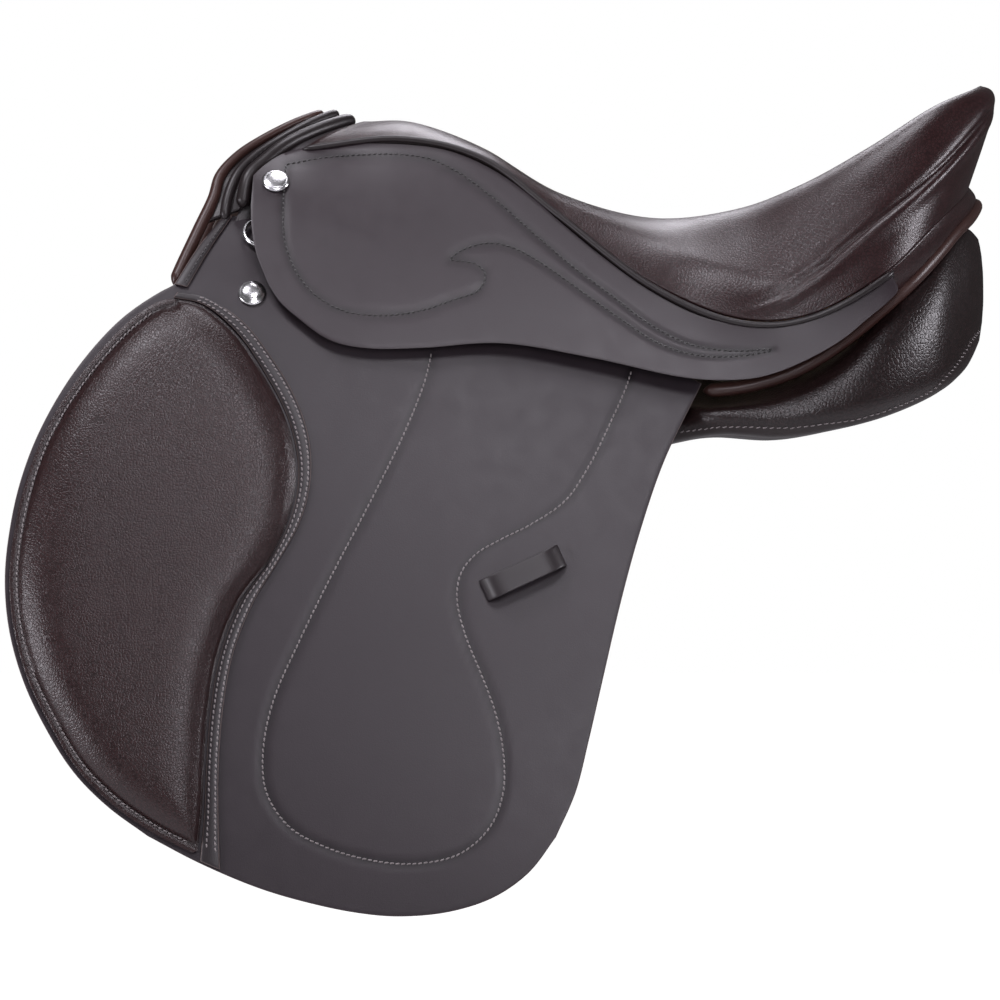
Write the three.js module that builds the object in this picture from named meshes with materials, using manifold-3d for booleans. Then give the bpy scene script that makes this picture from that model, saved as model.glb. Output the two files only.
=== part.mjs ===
// English saddle, built layer by layer: tree, webs, seat, skirts, flaps, panels, billets and metal fittings.
// Units are millimetres. +X points to the cantle, -Y is the near side, +Z is up.
// The origin is in the middle of the gullet channel, level with the panels' bearing line.
import * as THREE from 'three';
import { mergeVertices } from 'three/addons/utils/BufferGeometryUtils.js';
import Module from 'manifold-3d';

const wasm = await Module();
wasm.setup();

// Thicknesses and clearances.
const leather = 4;
const gap = 0.5;
const grid = 34;

// The flap folds outward along this straight line; y is the half width there.
const flapFold = { x0: -252, y0: 98.7, z0: 55.4, x1: 84, y1: 133.9, z1: -11.8 };
// The skirt folds outward along this one.
const skirtFold = { x0: -190.7, y0: 79, z0: 119.9, x1: 107.6, y1: 141, z1: 12.3 };
const sweatFoldZ = -28;

// Seat ribs from pommel to cantle: centre line, roll, ridge and welt, each as [x, half width, z].
const seatRibs = [
  [[-122, 0, 176], [-136, 22, 171], [-148, 36, 165], [-160, 47, 157]],
  [[-90, 0, 175], [-92, 27, 173.5], [-95, 45, 169], [-99, 57, 163]],
  [[-45, 0, 158], [-46, 32, 157], [-46, 55, 155], [-47, 72, 150]],
  [[0, 0, 129], [0, 40, 130], [0, 72, 126], [0, 91, 114]],
  [[55, 0, 112], [56, 48, 114], [56, 88, 101], [55, 114, 71]],
  [[105, 0, 107], [108, 69, 118], [109, 119, 82], [107, 131, 48]],
  [[145, 0, 115], [150, 82, 133], [150, 131, 79], [153, 137, 50]],
  [[190, 0, 133], [192, 79, 157], [196, 118, 112], [200, 129, 75]],
  [[225, 0, 157], [231, 64, 182], [237, 90, 146], [233, 95, 107]],
  [[247, 0, 180], [257, 37, 194], [266, 47, 178], [250, 50, 122]],
  [[259, 0, 193], [265, 0, 198], [273, 0, 186], [255, 0, 130]],
];
// Underside of the seat foam along the centre line, at the same ribs.
const foamBase = [
  [-118, 158], [-88, 157], [-42, 140], [3, 111], [55, 95], [107, 90],
  [150, 98], [199, 117], [238, 143], [252, 159], [257, 166],
];

// Front arch: half of each curve, from the near side up to the centre line.
const pipingArch = [[-239, 79, 72], [-224, 64, 106], [-211, 49, 140], [-186, 33, 164], [-160, 14, 179], [-146, 0, 184]];
const bindingFront = [[-220, 58, 121], [-211, 49, 140], [-186, 33, 164], [-160, 14, 179], [-146, 0, 184]];
const rollArch = [[-197, 60, 125], [-193, 53, 141], [-170, 36, 162], [-149, 19, 173], [-130, 0, 178]];

const cantlePipingLine = [
  [90, 119, 6], [112, 121, 8], [140, 122, 16], [161, 121, 27], [182, 118, 42],
  [204, 110, 61], [219, 101, 75], [233, 86, 90], [245, 66, 104], [255, 40, 114], [261, 0, 125],
];

// Panel sections: x, channel half width, outer, outer top, then heights
// of inner bottom, outer bottom, outer top and inner top.
const panelSections = [
  [-205, 36, 62, 52, 66, 50, 84, 90],
  [-170, 34, 86, 54, 38, 0, 56, 62],
  [-130, 32, 96, 64, 20, -28, 50, 58],
  [-60, 31, 101, 76, 6, -40, 30, 50],
  [0, 31, 105, 81, 0, -42, 20, 44],
  [45, 31, 107, 87, -1, -38, 8, 40],
  [75, 32, 121, 104, 0, -30, 0, 38],
  [100, 33, 135, 116, 2, -22, -2, 38],
  [135, 34, 141, 126, 7, -23, 4, 42],
  [165, 34, 140, 126, 14, -19, 18, 50],
  [200, 34, 131, 116, 24, -10, 46, 58],
  [232, 32, 108, 92, 36, 6, 78, 82],
  [252, 30, 76, 64, 46, 22, 94, 96],
  [264, 30, 48, 44, 58, 44, 82, 84],
];

// Outlines are lists of runs; each run is a smooth curve and runs meet at corners.
const flapOutline = [
  [[-239, 71], [-209, 115]],
  [[-209, 115], [-195, 115]],
  [[-195, 115], [-160, 113], [-115, 109], [-60, 80], [-20, 60], [40, 38], [87, 10]],
  [[87, 10], [64, -37], [37, -123], [17, -208], [9, -239], [-3, -266], [-40, -302], [-98, -314],
    [-184, -297], [-251, -266], [-297, -227], [-328, -172], [-340, -110], [-328, -49], [-300, 6], [-263, 50], [-239, 71]],
];
const skirtOutline = [
  [[-186, 145], [-191, 136], [-191, 114], [-188, 93], [-180, 72], [-163, 52], [-142, 37], [-120, 32],
    [-86, 32], [-37, 35], [19, 26], [74, 14], [123, 14], [148, 23], [173, 37], [191, 52], [207, 68]],
  [[207, 68], [202, 74]],
  [[202, 74], [178, 57], [153, 46], [129, 42], [107, 44], [86, 50], [55, 67], [25, 89], [0, 110],
    [-18, 126], [-37, 140], [-56, 150], [-74, 156], [-99, 159], [-130, 158], [-160, 152], [-186, 145]],
];
const padOutline = [
  [[-240, 58], [-277, 28], [-309, -23], [-330, -81], [-330, -140], [-308, -196], [-271, -243], [-222, -272]],
  [[-222, -272], [-218, -221], [-208, -153], [-178, -98], [-162, -43], [-168, -13], [-184, 18], [-224, 59]],
  [[-224, 59], [-240, 58]],
];
const borderOutline = [
  [[-221, 59], [-182, 18], [-166, -13], [-160, -43], [-176, -98], [-206, -153], [-216, -221], [-219, -273]],
  [[-219, -273], [-207, -279]],
  [[-207, -279], [-205, -184], [-187, -123], [-159, -74], [-154, -25], [-178, 27], [-212, 60]],
  [[-212, 60], [-221, 59]],
];
const sweatOutline = [
  [[-150, 6], [45, 6]],
  [[45, 6], [42, -40], [28, -100], [0, -160], [-45, -205], [-100, -208], [-148, -165], [-163, -100], [-156, -40], [-150, 6]],
];

// Billet straps: fore-and-aft place and depth of the outer face under the flap.
const billetWidth = 25;
const billetThickness = 3.5;
const billetTopZ = 20;
const billetBottomZ = -225;
const billets = [
  { name: 'billet_front', x: -82, depth: 7.5 },
  { name: 'billet_middle', x: -45, depth: 12.4 },
  { name: 'billet_rear', x: -8, depth: 17.3 },
];

const material = {
  smooth: { color: 0x4c4346, roughness: 0.55, metalness: 0 },
  grained: { color: 0x46393a, roughness: 0.5, metalness: 0 },
  piping: { color: 0x5d3f36, roughness: 0.45, metalness: 0 },
  underside: { color: 0x5a4338, roughness: 0.7, metalness: 0 },
  strap: { color: 0x3d3130, roughness: 0.5, metalness: 0 },
  wood: { color: 0xb08a5c, roughness: 0.7, metalness: 0 },
  steel: { color: 0x8d9196, roughness: 0.4, metalness: 1 },
  polished: { color: 0xc9ccd0, roughness: 0.2, metalness: 1 },
  web: { color: 0xb9ab8d, roughness: 0.95, metalness: 0 },
  foam: { color: 0xd9cfa8, roughness: 0.95, metalness: 0 },
};

const lerp = THREE.MathUtils.lerp;

function lineAt(line, x) {
  const t = (x - line.x0) / (line.x1 - line.x0);
  return { y: lerp(line.y0, line.y1, t), z: lerp(line.z0, line.z1, t) };
}

// Welt height and half width over a given x, read along the ribs' welt ends.
function weltAt(x) {
  const line = [[-195, 52, 156], ...seatRibs.slice(0, 8).map((rib) => rib[3]), [215, 119, 90]];
  let i = 0;
  while (i < line.length - 2 && line[i + 1][0] < x) i += 1;
  const t = (x - line[i][0]) / (line[i + 1][0] - line[i][0]);
  return { y: lerp(line[i][1], line[i + 1][1], t), z: lerp(line[i][2], line[i + 1][2], t) };
}

// Outer face of the flap as a half width over (x, z).
function flapFace(x, z) {
  const fold = lineAt(flapFold, x);
  const drop = fold.z - z;
  const bend = drop > 0 ? 0.00038 : 0.0035;
  return fold.y + 0.4 * drop - bend * drop * drop;
}

// Outer face of the skirt: it passes through the welt and the fold line and flares below.
function skirtFace(x, z) {
  const fold = lineAt(skirtFold, x);
  const slope = lerp(0.48, 0.36, THREE.MathUtils.clamp((x + 120) / 210, 0, 1));
  const drop = fold.z - z;
  if (drop > 0) return fold.y + slope * drop - 0.0003 * drop * drop;
  const welt = weltAt(x);
  const full = welt.z - fold.z;
  const bend = (fold.y - slope * full - welt.y) / (full * full);
  return fold.y + slope * drop - bend * drop * drop;
}

function slopes(face, x, z) {
  return { dx: (face(x + 1, z) - face(x - 1, z)) / 2, dz: (face(x, z + 1) - face(x, z - 1)) / 2 };
}

// The same face moved out by a distance measured square to it.
function offsetFace(face, distance) {
  return (x, z) => {
    const { dx, dz } = slopes(face, x, z);
    const amount = typeof distance === 'function' ? distance(x, z) : distance;
    return face(x, z) + amount * Math.hypot(1, dx, dz);
  };
}

function pointOn(face, x, z) {
  return new THREE.Vector3(x, -face(x, z), z);
}

function outwardNormal(face, x, z) {
  const { dx, dz } = slopes(face, x, z);
  return new THREE.Vector3(-dx, -1, -dz).normalize();
}

function solidFrom(geometry) {
  const bare = geometry.clone();
  bare.deleteAttribute('normal');
  bare.deleteAttribute('uv');
  const merged = mergeVertices(bare, 1e-4);
  const vertProperties = Float32Array.from(merged.attributes.position.array);
  const triVerts = Uint32Array.from(merged.index.array);
  return new wasm.Manifold(new wasm.Mesh({ numProp: 3, vertProperties, triVerts }));
}

function geometryFrom(solid) {
  const mesh = solid.getMesh();
  const geometry = new THREE.BufferGeometry();
  geometry.setAttribute('position', new THREE.BufferAttribute(mesh.vertProperties, 3));
  geometry.setIndex(new THREE.BufferAttribute(mesh.triVerts, 1));
  geometry.computeVertexNormals();
  return geometry;
}

function triangles(points, faces) {
  const geometry = new THREE.BufferGeometry();
  geometry.setAttribute('position', new THREE.Float32BufferAttribute(points.flat(), 3));
  geometry.setIndex(faces.flat());
  return geometry;
}

// Closed slab between two faces over a rectangle of whole grid cells.
function slabBetween(outer, inner, box, cell) {
  const column = Math.floor(box.min.x / cell) - 1;
  const row = Math.floor(box.min.y / cell) - 1;
  const columns = Math.ceil(box.max.x / cell) + 1 - column;
  const rows = Math.ceil(box.max.y / cell) + 1 - row;
  const points = [];
  for (const face of [outer, inner]) {
    for (let j = 0; j <= rows; j += 1) {
      for (let i = 0; i <= columns; i += 1) {
        const x = (column + i) * cell;
        const z = (row + j) * cell;
        points.push([x, -face(x, z), z]);
      }
    }
  }
  const layer = (rows + 1) * (columns + 1);
  const at = (i, j, side) => side * layer + j * (columns + 1) + i;
  const faces = [];
  const quad = (a, b, c, d) => faces.push([a, b, c], [a, c, d]);
  for (let j = 0; j < rows; j += 1) {
    for (let i = 0; i < columns; i += 1) {
      quad(at(i, j, 0), at(i + 1, j, 0), at(i + 1, j + 1, 0), at(i, j + 1, 0));
      quad(at(i, j, 1), at(i, j + 1, 1), at(i + 1, j + 1, 1), at(i + 1, j, 1));
    }
  }
  for (let i = 0; i < columns; i += 1) {
    quad(at(i, 0, 1), at(i + 1, 0, 1), at(i + 1, 0, 0), at(i, 0, 0));
    quad(at(i, rows, 0), at(i + 1, rows, 0), at(i + 1, rows, 1), at(i, rows, 1));
  }
  for (let j = 0; j < rows; j += 1) {
    quad(at(0, j, 0), at(0, j + 1, 0), at(0, j + 1, 1), at(0, j, 1));
    quad(at(columns, j, 1), at(columns, j + 1, 1), at(columns, j + 1, 0), at(columns, j, 0));
  }
  return solidFrom(triangles(points, faces));
}

function outlinePoints(runs, step) {
  const points = [];
  for (const run of runs) {
    const curve = new THREE.SplineCurve(run.map(([x, z]) => new THREE.Vector2(x, z)));
    const count = Math.max(1, Math.round(curve.getLength() / step));
    points.push(...curve.getSpacedPoints(count).slice(0, -1));
  }
  return points;
}

// An outline in the side view, run right through the near half of the saddle.
function prism(points) {
  const geometry = new THREE.ExtrudeGeometry(new THREE.Shape(points), { depth: 400, bevelEnabled: false });
  geometry.rotateX(Math.PI / 2);
  geometry.translate(0, 20, 0);
  return solidFrom(geometry);
}

// Leather laid on a curved face: outline points trimmed between two offsets from the face.
function draped(points, face, outerOffset, innerOffset, cell = grid) {
  const box = new THREE.Box2().setFromPoints(points);
  const slab = slabBetween(offsetFace(face, outerOffset), offsetFace(face, innerOffset), box, cell);
  return prism(points).intersect(slab);
}

// Everything on one side of a fold line, cleared by half the fold's slit.
function besideFold(line, below, slit) {
  const far = 400;
  const shift = below ? -slit : slit;
  const start = lineAt(line, -far);
  const end = lineAt(line, far);
  const edge = below ? -far : far;
  const points = [
    new THREE.Vector2(-far, start.z + shift),
    new THREE.Vector2(far, end.z + shift),
    new THREE.Vector2(far, edge),
    new THREE.Vector2(-far, edge),
  ];
  return prism(below ? points.reverse() : points);
}

// Closed skin through rings of equal length, capped at both ends.
function loft(rings) {
  const size = rings[0].length;
  const faces = [];
  for (let r = 0; r < rings.length - 1; r += 1) {
    for (let k = 0; k < size; k += 1) {
      const next = (k + 1) % size;
      const a = r * size + k;
      const b = r * size + next;
      faces.push([a, a + size, b + size], [a, b + size, b]);
    }
  }
  const last = (rings.length - 1) * size;
  for (let k = 1; k < size - 1; k += 1) {
    faces.push([0, k, k + 1], [last, last + k + 1, last + k]);
  }
  const points = rings.flat().map((p) => [p.x, p.y, p.z]);
  const geometry = triangles(points, faces);
  const solid = solidFrom(geometry);
  if (solid.volume() > 0) return solid;
  return solidFrom(triangles(points, faces.map(([a, b, c]) => [a, c, b])));
}

// Round cord or wire along a smooth open path.
function cord(path, radius, steps, sides = 8) {
  const circle = new THREE.Shape().absarc(0, 0, radius, 0, Math.PI * 2, false);
  const extrudePath = new THREE.CatmullRomCurve3(path);
  return new THREE.ExtrudeGeometry(circle, { steps, curveSegments: sides, extrudePath, bevelEnabled: false });
}

// A half curve on the near side and its mirror image, joined at the centre line.
function acrossSaddle(half) {
  const near = half.map(([x, y, z]) => new THREE.Vector3(x, -y, z));
  const off = half.slice(0, -1).reverse().map(([x, y, z]) => new THREE.Vector3(x, y, z));
  return [...near, ...off];
}

// ---------- seat ----------

// Point on the near half of the seat; s runs pommel to cantle, v centre line to welt.
// Each curve runs on round the cantle to the other side, so that the seat is smooth at its back.
const seatCurves = [0, 1, 2, 3].map((k) => {
  const near = seatRibs.map((rib) => new THREE.Vector3(...rib[k]));
  const off = near.slice(0, -1).reverse().map((p) => new THREE.Vector3(p.x, -p.y, p.z));
  return new THREE.CatmullRomCurve3([...near, ...off], false, 'centripetal');
});

function seatPoint(s, v) {
  const rib = seatCurves.map((curve) => curve.getPoint(s / 2));
  return new THREE.CatmullRomCurve3(rib, false, 'centripetal').getPoint(v);
}

function seatNormal(s, v) {
  const step = 0.01;
  const along = seatPoint(s + step, v).sub(seatPoint(Math.max(s - step, 0), v));
  const across = seatPoint(s, Math.min(v + step, 1)).sub(seatPoint(s, Math.max(v - step, 0)));
  const normal = along.cross(across).normalize();
  if (v === 0 || s === 1) normal.y = 0;
  return normal.normalize();
}

// Full-width sheet of the seat: sunk(s, v) gives the near-half point of each skin.
function seatSolid(outerSkin, innerSkin, ribs, across) {
  const points = [];
  for (const skin of [outerSkin, innerSkin]) {
    for (let i = 0; i <= ribs; i += 1) {
      for (let j = -across; j <= across; j += 1) {
        const p = skin(i / ribs, Math.abs(j) / across);
        points.push([p.x, Math.sign(j) * p.y, p.z]);
      }
    }
  }
  const width = 2 * across + 1;
  const layer = (ribs + 1) * width;
  const faces = [];
  const quad = (a, b, c, d) => faces.push([a, b, c], [a, c, d]);
  for (let i = 0; i < ribs; i += 1) {
    for (let j = 0; j < width - 1; j += 1) {
      const a = i * width + j;
      quad(a, a + width, a + width + 1, a + 1);
      quad(layer + a, layer + a + 1, layer + a + width + 1, layer + a + width);
    }
    const left = i * width;
    const right = left + width - 1;
    quad(left, left + layer, left + layer + width, left + width);
    quad(right, right + width, right + layer + width, right + layer);
  }
  for (let j = 0; j < width - 1; j += 1) {
    quad(j, j + 1, j + 1 + layer, j + layer);
  }
  const solid = solidFrom(triangles(points, faces));
  if (solid.volume() > 0) return solid;
  return solidFrom(triangles(points, faces.map(([a, b, c]) => [a, c, b])));
}

// Cover and foam share their ribs, so their facets stay parallel; the foam stops one step short of the welt.
const seatStations = 18;
const seatSteps = 7;
const coverEdge = 0.925;
const foamEdge = (coverEdge * (seatSteps - 1)) / seatSteps;

function seatSkin(depth, edge) {
  return (s, v) => {
    const p = seatPoint(s, v * edge).addScaledVector(seatNormal(s, v * edge), -depth);
    if (v === 0 || s === 1) p.y = 0;
    return p;
  };
}

function foamFloor(s, v) {
  const curve = new THREE.CatmullRomCurve3(foamBase.map(([x, z]) => new THREE.Vector3(x, 0, z)), false, 'centripetal');
  const rim = seatSkin(11, foamEdge)(s, 1);
  return curve.getPoint(s).lerp(rim, v);
}

function makeSeatCover() {
  return seatSolid(seatSkin(0, coverEdge), seatSkin(3.5, coverEdge), seatStations, seatSteps);
}

function makeSeatFoam() {
  return seatSolid(seatSkin(leather + gap, foamEdge), foamFloor, seatStations, seatSteps - 1);
}

function makeSeatWelt() {
  return cord(acrossSaddle(seatRibs.map((rib) => rib[3])), 2.3, 48, 2);
}

// ---------- tree and webs ----------

// Rail centre line: x, half width, height.
const railLine = [
  [-110, 44, 116], [-60, 50, 97], [0, 57, 78], [57, 62, 58], [89, 66, 52], [120, 70, 51], [151, 77, 57], [183, 84, 68],
];

function strip(line, halfWidth, halfHeight, lift = 0) {
  return loft(line.map(([x, y, z]) => [
    new THREE.Vector3(x, -y - halfWidth, z + lift - halfHeight),
    new THREE.Vector3(x, -y + halfWidth, z + lift - halfHeight),
    new THREE.Vector3(x, -y + halfWidth, z + lift + halfHeight),
    new THREE.Vector3(x, -y - halfWidth, z + lift + halfHeight),
  ]));
}

function makeRail() {
  return strip(railLine, 8, 3.5);
}

function makeTreeSpring() {
  return strip(railLine, 5, 0.8, 3.5 + gap + 0.8);
}

// Arch of the tree head as half width and height, from the points up to the crown.
const headArch = [[56, 66], [49, 90], [37, 116], [22, 138], [0, 149]];

function archBand(x, width, inner, outer) {
  const curve = new THREE.SplineCurve(acrossSaddle(headArch.map(([y, z]) => [0, y, z])).map((p) => new THREE.Vector2(p.y, p.z)));
  const count = 12;
  const edge = (distance) => Array.from({ length: count + 1 }, (_, i) => {
    const tangent = curve.getTangent(i / count);
    return curve.getPoint(i / count).add(new THREE.Vector2(-tangent.y, tangent.x).multiplyScalar(distance));
  });
  const shape = new THREE.Shape([...edge(inner), ...edge(outer).reverse()]);
  const geometry = new THREE.ExtrudeGeometry(shape, { depth: width, bevelEnabled: false });
  geometry.applyMatrix4(new THREE.Matrix4().set(0, 0, 1, x, 1, 0, 0, 0, 0, 1, 0, 0, 0, 0, 0, 1));
  return geometry;
}

function makeTreeCantle() {
  const path = new THREE.CatmullRomCurve3(acrossSaddle([[200, 88, 82], [224, 62, 99], [236, 30, 110], [239, 0, 114]]));
  const rings = path.getPoints(18).map((p, i) => {
    const tangent = path.getTangent(i / 18);
    const out = new THREE.Vector3(tangent.y, -tangent.x, 0).normalize().multiplyScalar(4);
    const up = new THREE.Vector3(0, 0, 9);
    return [
      p.clone().sub(out).sub(up),
      p.clone().add(out).sub(up),
      p.clone().add(out).add(up),
      p.clone().sub(out).add(up),
    ];
  });
  return loft(rings);
}

// Height of the foam's underside at a place across the seat.
function foamUnderside(s, y) {
  const centre = foamFloor(s, 0);
  const rim = foamFloor(s, 1);
  return { x: centre.x, z: lerp(centre.z, rim.z, y / rim.y) };
}

function makeSeatWeb() {
  const rings = [];
  for (let i = 1; i <= 12; i += 1) {
    const inner = foamUnderside(i / seatStations, 6);
    const outer = foamUnderside(i / seatStations, 42);
    rings.push([
      new THREE.Vector3(inner.x, -6, inner.z - 6),
      new THREE.Vector3(inner.x, -6, inner.z - 4.5),
      new THREE.Vector3(outer.x, -42, outer.z - 4.5),
      new THREE.Vector3(outer.x, -42, outer.z - 6),
    ]);
  }
  return loft(rings);
}

// Cross strap over the rails, under the two long webs.
function makeStrainingWeb() {
  const rings = [];
  for (let y = -66; y <= 66; y += 12) {
    const front = foamUnderside(0.41, Math.abs(y));
    const rear = foamUnderside(0.49, Math.abs(y));
    rings.push([
      new THREE.Vector3(front.x, y, front.z - 9.8),
      new THREE.Vector3(rear.x, y, rear.z - 9.8),
      new THREE.Vector3(rear.x, y, rear.z - 8.2),
      new THREE.Vector3(front.x, y, front.z - 8.2),
    ]);
  }
  return loft(rings);
}

function bandAcross(x, width, half, thickness) {
  const path = new THREE.SplineCurve(acrossSaddle(half.map(([y, z]) => [0, y, z])).map((p) => new THREE.Vector2(p.y, p.z)));
  const count = 16;
  const edge = (distance) => Array.from({ length: count + 1 }, (_, i) => {
    const tangent = path.getTangent(i / count);
    return path.getPoint(i / count).add(new THREE.Vector2(-tangent.y, tangent.x).multiplyScalar(distance));
  });
  const shape = new THREE.Shape([...edge(-thickness / 2), ...edge(thickness / 2).reverse()]);
  const geometry = new THREE.ExtrudeGeometry(shape, { depth: width, bevelEnabled: false });
  geometry.applyMatrix4(new THREE.Matrix4().set(0, 0, 1, x - width / 2, 1, 0, 0, 0, 0, 1, 0, 0, 0, 0, 0, 1));
  return geometry;
}

// ---------- pommel ----------

function makePommelBinding() {
  const front = new THREE.CatmullRomCurve3(acrossSaddle(bindingFront));
  const back = new THREE.CatmullRomCurve3(acrossSaddle(rollArch));
  const rings = [];
  for (let i = 0; i <= 20; i += 1) {
    const a = front.getPoint(i / 20);
    const b = back.getPoint(i / 20);
    const across = b.clone().sub(a).normalize();
    const inward = across.clone().cross(front.getTangent(i / 20)).normalize().multiplyScalar(3.5);
    if (inward.z > 0) inward.negate();
    const start = a.clone().addScaledVector(across, 4.4);
    const end = b.clone().addScaledVector(across, -5);
    rings.push([start.clone(), end.clone(), end.clone().add(inward), start.clone().add(inward)]);
  }
  return loft(rings);
}

// ---------- panels ----------

function makePanel() {
  return loft(panelSections.map(([x, yi, yo, yt, zib, zob, zot, zit]) => [
    [yi, zib],
    [lerp(yi, yo, 0.5), lerp(zib, zob, 0.5) - 4],
    [yo - 9, zob],
    [yo, zob + 9],
    [lerp(yo, yt, 0.4), lerp(zob + 9, zot, 0.65)],
    [yt, zot],
    [lerp(yt, yi, 0.5), lerp(zot, zit, 0.5) + 1],
    [yi + 2, zit],
  ].map(([y, z]) => new THREE.Vector3(x, -y, z))));
}

// ---------- flaps, skirts and what is sewn to them ----------

function makeFlap() {
  const sheet = draped(outlinePoints(flapOutline, 34), flapFace, 0, -leather);
  return {
    upper: sheet.intersect(besideFold(flapFold, false, 0.4)),
    lower: sheet.intersect(besideFold(flapFold, true, 0.4)),
  };
}

function makeSkirt() {
  const sheet = draped(outlinePoints(skirtOutline, 24), skirtFace, 0, -3.6);
  return {
    upper: sheet.intersect(besideFold(skirtFold, false, 0.4)),
    lower: sheet.intersect(besideFold(skirtFold, true, 0.4)),
  };
}

function distanceToOutline(points, x, z) {
  const here = new THREE.Vector3(x, z, 0);
  let nearest = Infinity;
  points.forEach((p, i) => {
    const q = points[(i + 1) % points.length];
    const edge = new THREE.Line3(new THREE.Vector3(p.x, p.y, 0), new THREE.Vector3(q.x, q.y, 0));
    nearest = Math.min(nearest, edge.closestPointToPoint(here, true, new THREE.Vector3()).distanceTo(here));
  });
  return nearest;
}

// The knee pad swells from a thin sewn edge to a full middle.
function makeKneePad() {
  const points = outlinePoints(padOutline, 42);
  const swell = (x, z) => 3 + 12 * THREE.MathUtils.smoothstep(distanceToOutline(points, x, z), 0, 48);
  return draped(points, flapFace, swell, gap, 16).intersect(besideFold(flapFold, true, 2));
}

function makeKneeBorder() {
  return draped(outlinePoints(borderOutline, 20), flapFace, 2.6, gap).intersect(besideFold(flapFold, true, 2));
}

// Strap loop sewn flat at both ends and arched over a gap in between.
function makeKeeperLoop() {
  const start = new THREE.Vector2(-47, -117);
  const end = new THREE.Vector2(1, -95);
  const along = end.clone().sub(start).normalize();
  const square = new THREE.Vector2(-along.y, along.x);
  const length = start.distanceTo(end);
  const rings = [];
  for (let i = 0; i <= 12; i += 1) {
    const t = i / 12;
    const lift = gap + 8.5 * THREE.MathUtils.smoothstep(Math.min(t, 1 - t), 0.1, 0.36);
    const corner = (half, height) => {
      const place = start.clone().addScaledVector(along, t * length).addScaledVector(square, half);
      const base = pointOn(flapFace, place.x, place.y);
      return base.addScaledVector(outwardNormal(flapFace, place.x, place.y), height);
    };
    rings.push([corner(-7, lift), corner(7, lift), corner(7, lift + 2.4), corner(-7, lift + 2.4)]);
  }
  return loft(rings);
}

function makeSweatFlap() {
  const sheet = draped(outlinePoints(sweatOutline, 26), flapFace, -22.5, -25.5);
  const fold = { x0: -1, x1: 1, y0: 0, y1: 0, z0: sweatFoldZ, z1: sweatFoldZ };
  return {
    upper: sheet.intersect(besideFold(fold, false, 0.4)),
    lower: sheet.intersect(besideFold(fold, true, 0.4)),
  };
}

function makeBillet({ x, depth }) {
  const half = billetWidth / 2;
  const shape = new THREE.Shape();
  shape.moveTo(x - half, billetTopZ - half);
  shape.lineTo(x - half, billetBottomZ + half * 1.4);
  shape.lineTo(x - half * 0.3, billetBottomZ);
  shape.lineTo(x + half * 0.3, billetBottomZ);
  shape.lineTo(x + half, billetBottomZ + half * 1.4);
  shape.lineTo(x + half, billetTopZ - half);
  shape.absarc(x, billetTopZ - half, half, 0, Math.PI, false);
  const points = shape.getPoints(5).slice(0, -1);
  return draped(points, flapFace, -depth, -depth - billetThickness);
}

// ---------- metal fittings ----------

// Bar for the stirrup leather: a plate on the upper flap, an arm and a bar open to the rear.
const barStart = new THREE.Vector2(-152, 105);
const barEnd = new THREE.Vector2(-81.5, 97);
const catchPivot = new THREE.Vector2(-75, 96.5);

function barPoints(from, to, halfHeight) {
  const drop = (barEnd.y - barStart.y) / (barEnd.x - barStart.x);
  const z = (x) => barStart.y + drop * (x - barStart.x);
  return [
    new THREE.Vector2(from, z(from) - halfHeight),
    new THREE.Vector2(to, z(to) - halfHeight),
    new THREE.Vector2(to, z(to) + halfHeight),
    new THREE.Vector2(from, z(from) + halfHeight),
  ];
}

function makeStirrupBar() {
  const plate = draped(barPoints(-152, -116, 7), flapFace, 2.6, gap);
  const arm = draped(barPoints(-152, -142, 5), flapFace, 11, 2.2);
  const bar = draped(barPoints(-152, barEnd.x, 5), flapFace, 11, 7.4);
  return plate.add(arm).add(bar);
}

// The catch turns about its round front end, just behind the bar.
function makeBarCatch() {
  const radius = 4;
  const shape = new THREE.Shape();
  shape.absarc(catchPivot.x, catchPivot.y, radius, Math.PI / 2, Math.PI * 1.5, false);
  shape.lineTo(catchPivot.x + 16, catchPivot.y - radius - 1);
  shape.lineTo(catchPivot.x + 16, catchPivot.y + radius - 2);
  return draped(shape.getPoints(5).slice(0, -1), flapFace, 10.6, 7.8);
}

function turnTo(geometry, place, direction) {
  const turn = new THREE.Quaternion().setFromUnitVectors(new THREE.Vector3(0, 1, 0), direction);
  geometry.applyQuaternion(turn);
  geometry.translate(place.x, place.y, place.z);
  return geometry;
}

function makeNail(face, x, z, profile, standoff) {
  const direction = outwardNormal(face, x, z);
  const place = pointOn(face, x, z).addScaledVector(direction, standoff);
  const points = profile.map(([r, h]) => new THREE.Vector2(r, h));
  return turnTo(new THREE.LatheGeometry(points, 14), place, direction);
}

const headNailProfile = [[0, 0], [8.4, 0], [8.4, 1.1], [6.4, 2.6], [0, 2.6]];
const flapNailProfile = [[0, 0], [8.7, 0], [8.2, 1.4], [6, 2.9], [3, 3.6], [0, 3.8]];

// Dee ring: a wire loop with its straight bar upright, turning inside the leather chape.
const deePivot = new THREE.Vector2(-184, 102);
const deeLift = 3.9;
const deeAxis = pointOn(flapFace, deePivot.x, deePivot.y + 8)
  .sub(pointOn(flapFace, deePivot.x, deePivot.y - 8))
  .normalize();

function deeFrame() {
  const normal = outwardNormal(flapFace, deePivot.x, deePivot.y);
  const centre = pointOn(flapFace, deePivot.x, deePivot.y).addScaledVector(normal, deeLift);
  const forward = deeAxis.clone().cross(normal).normalize();
  if (forward.x > 0) forward.negate();
  return { centre, forward };
}

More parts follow.
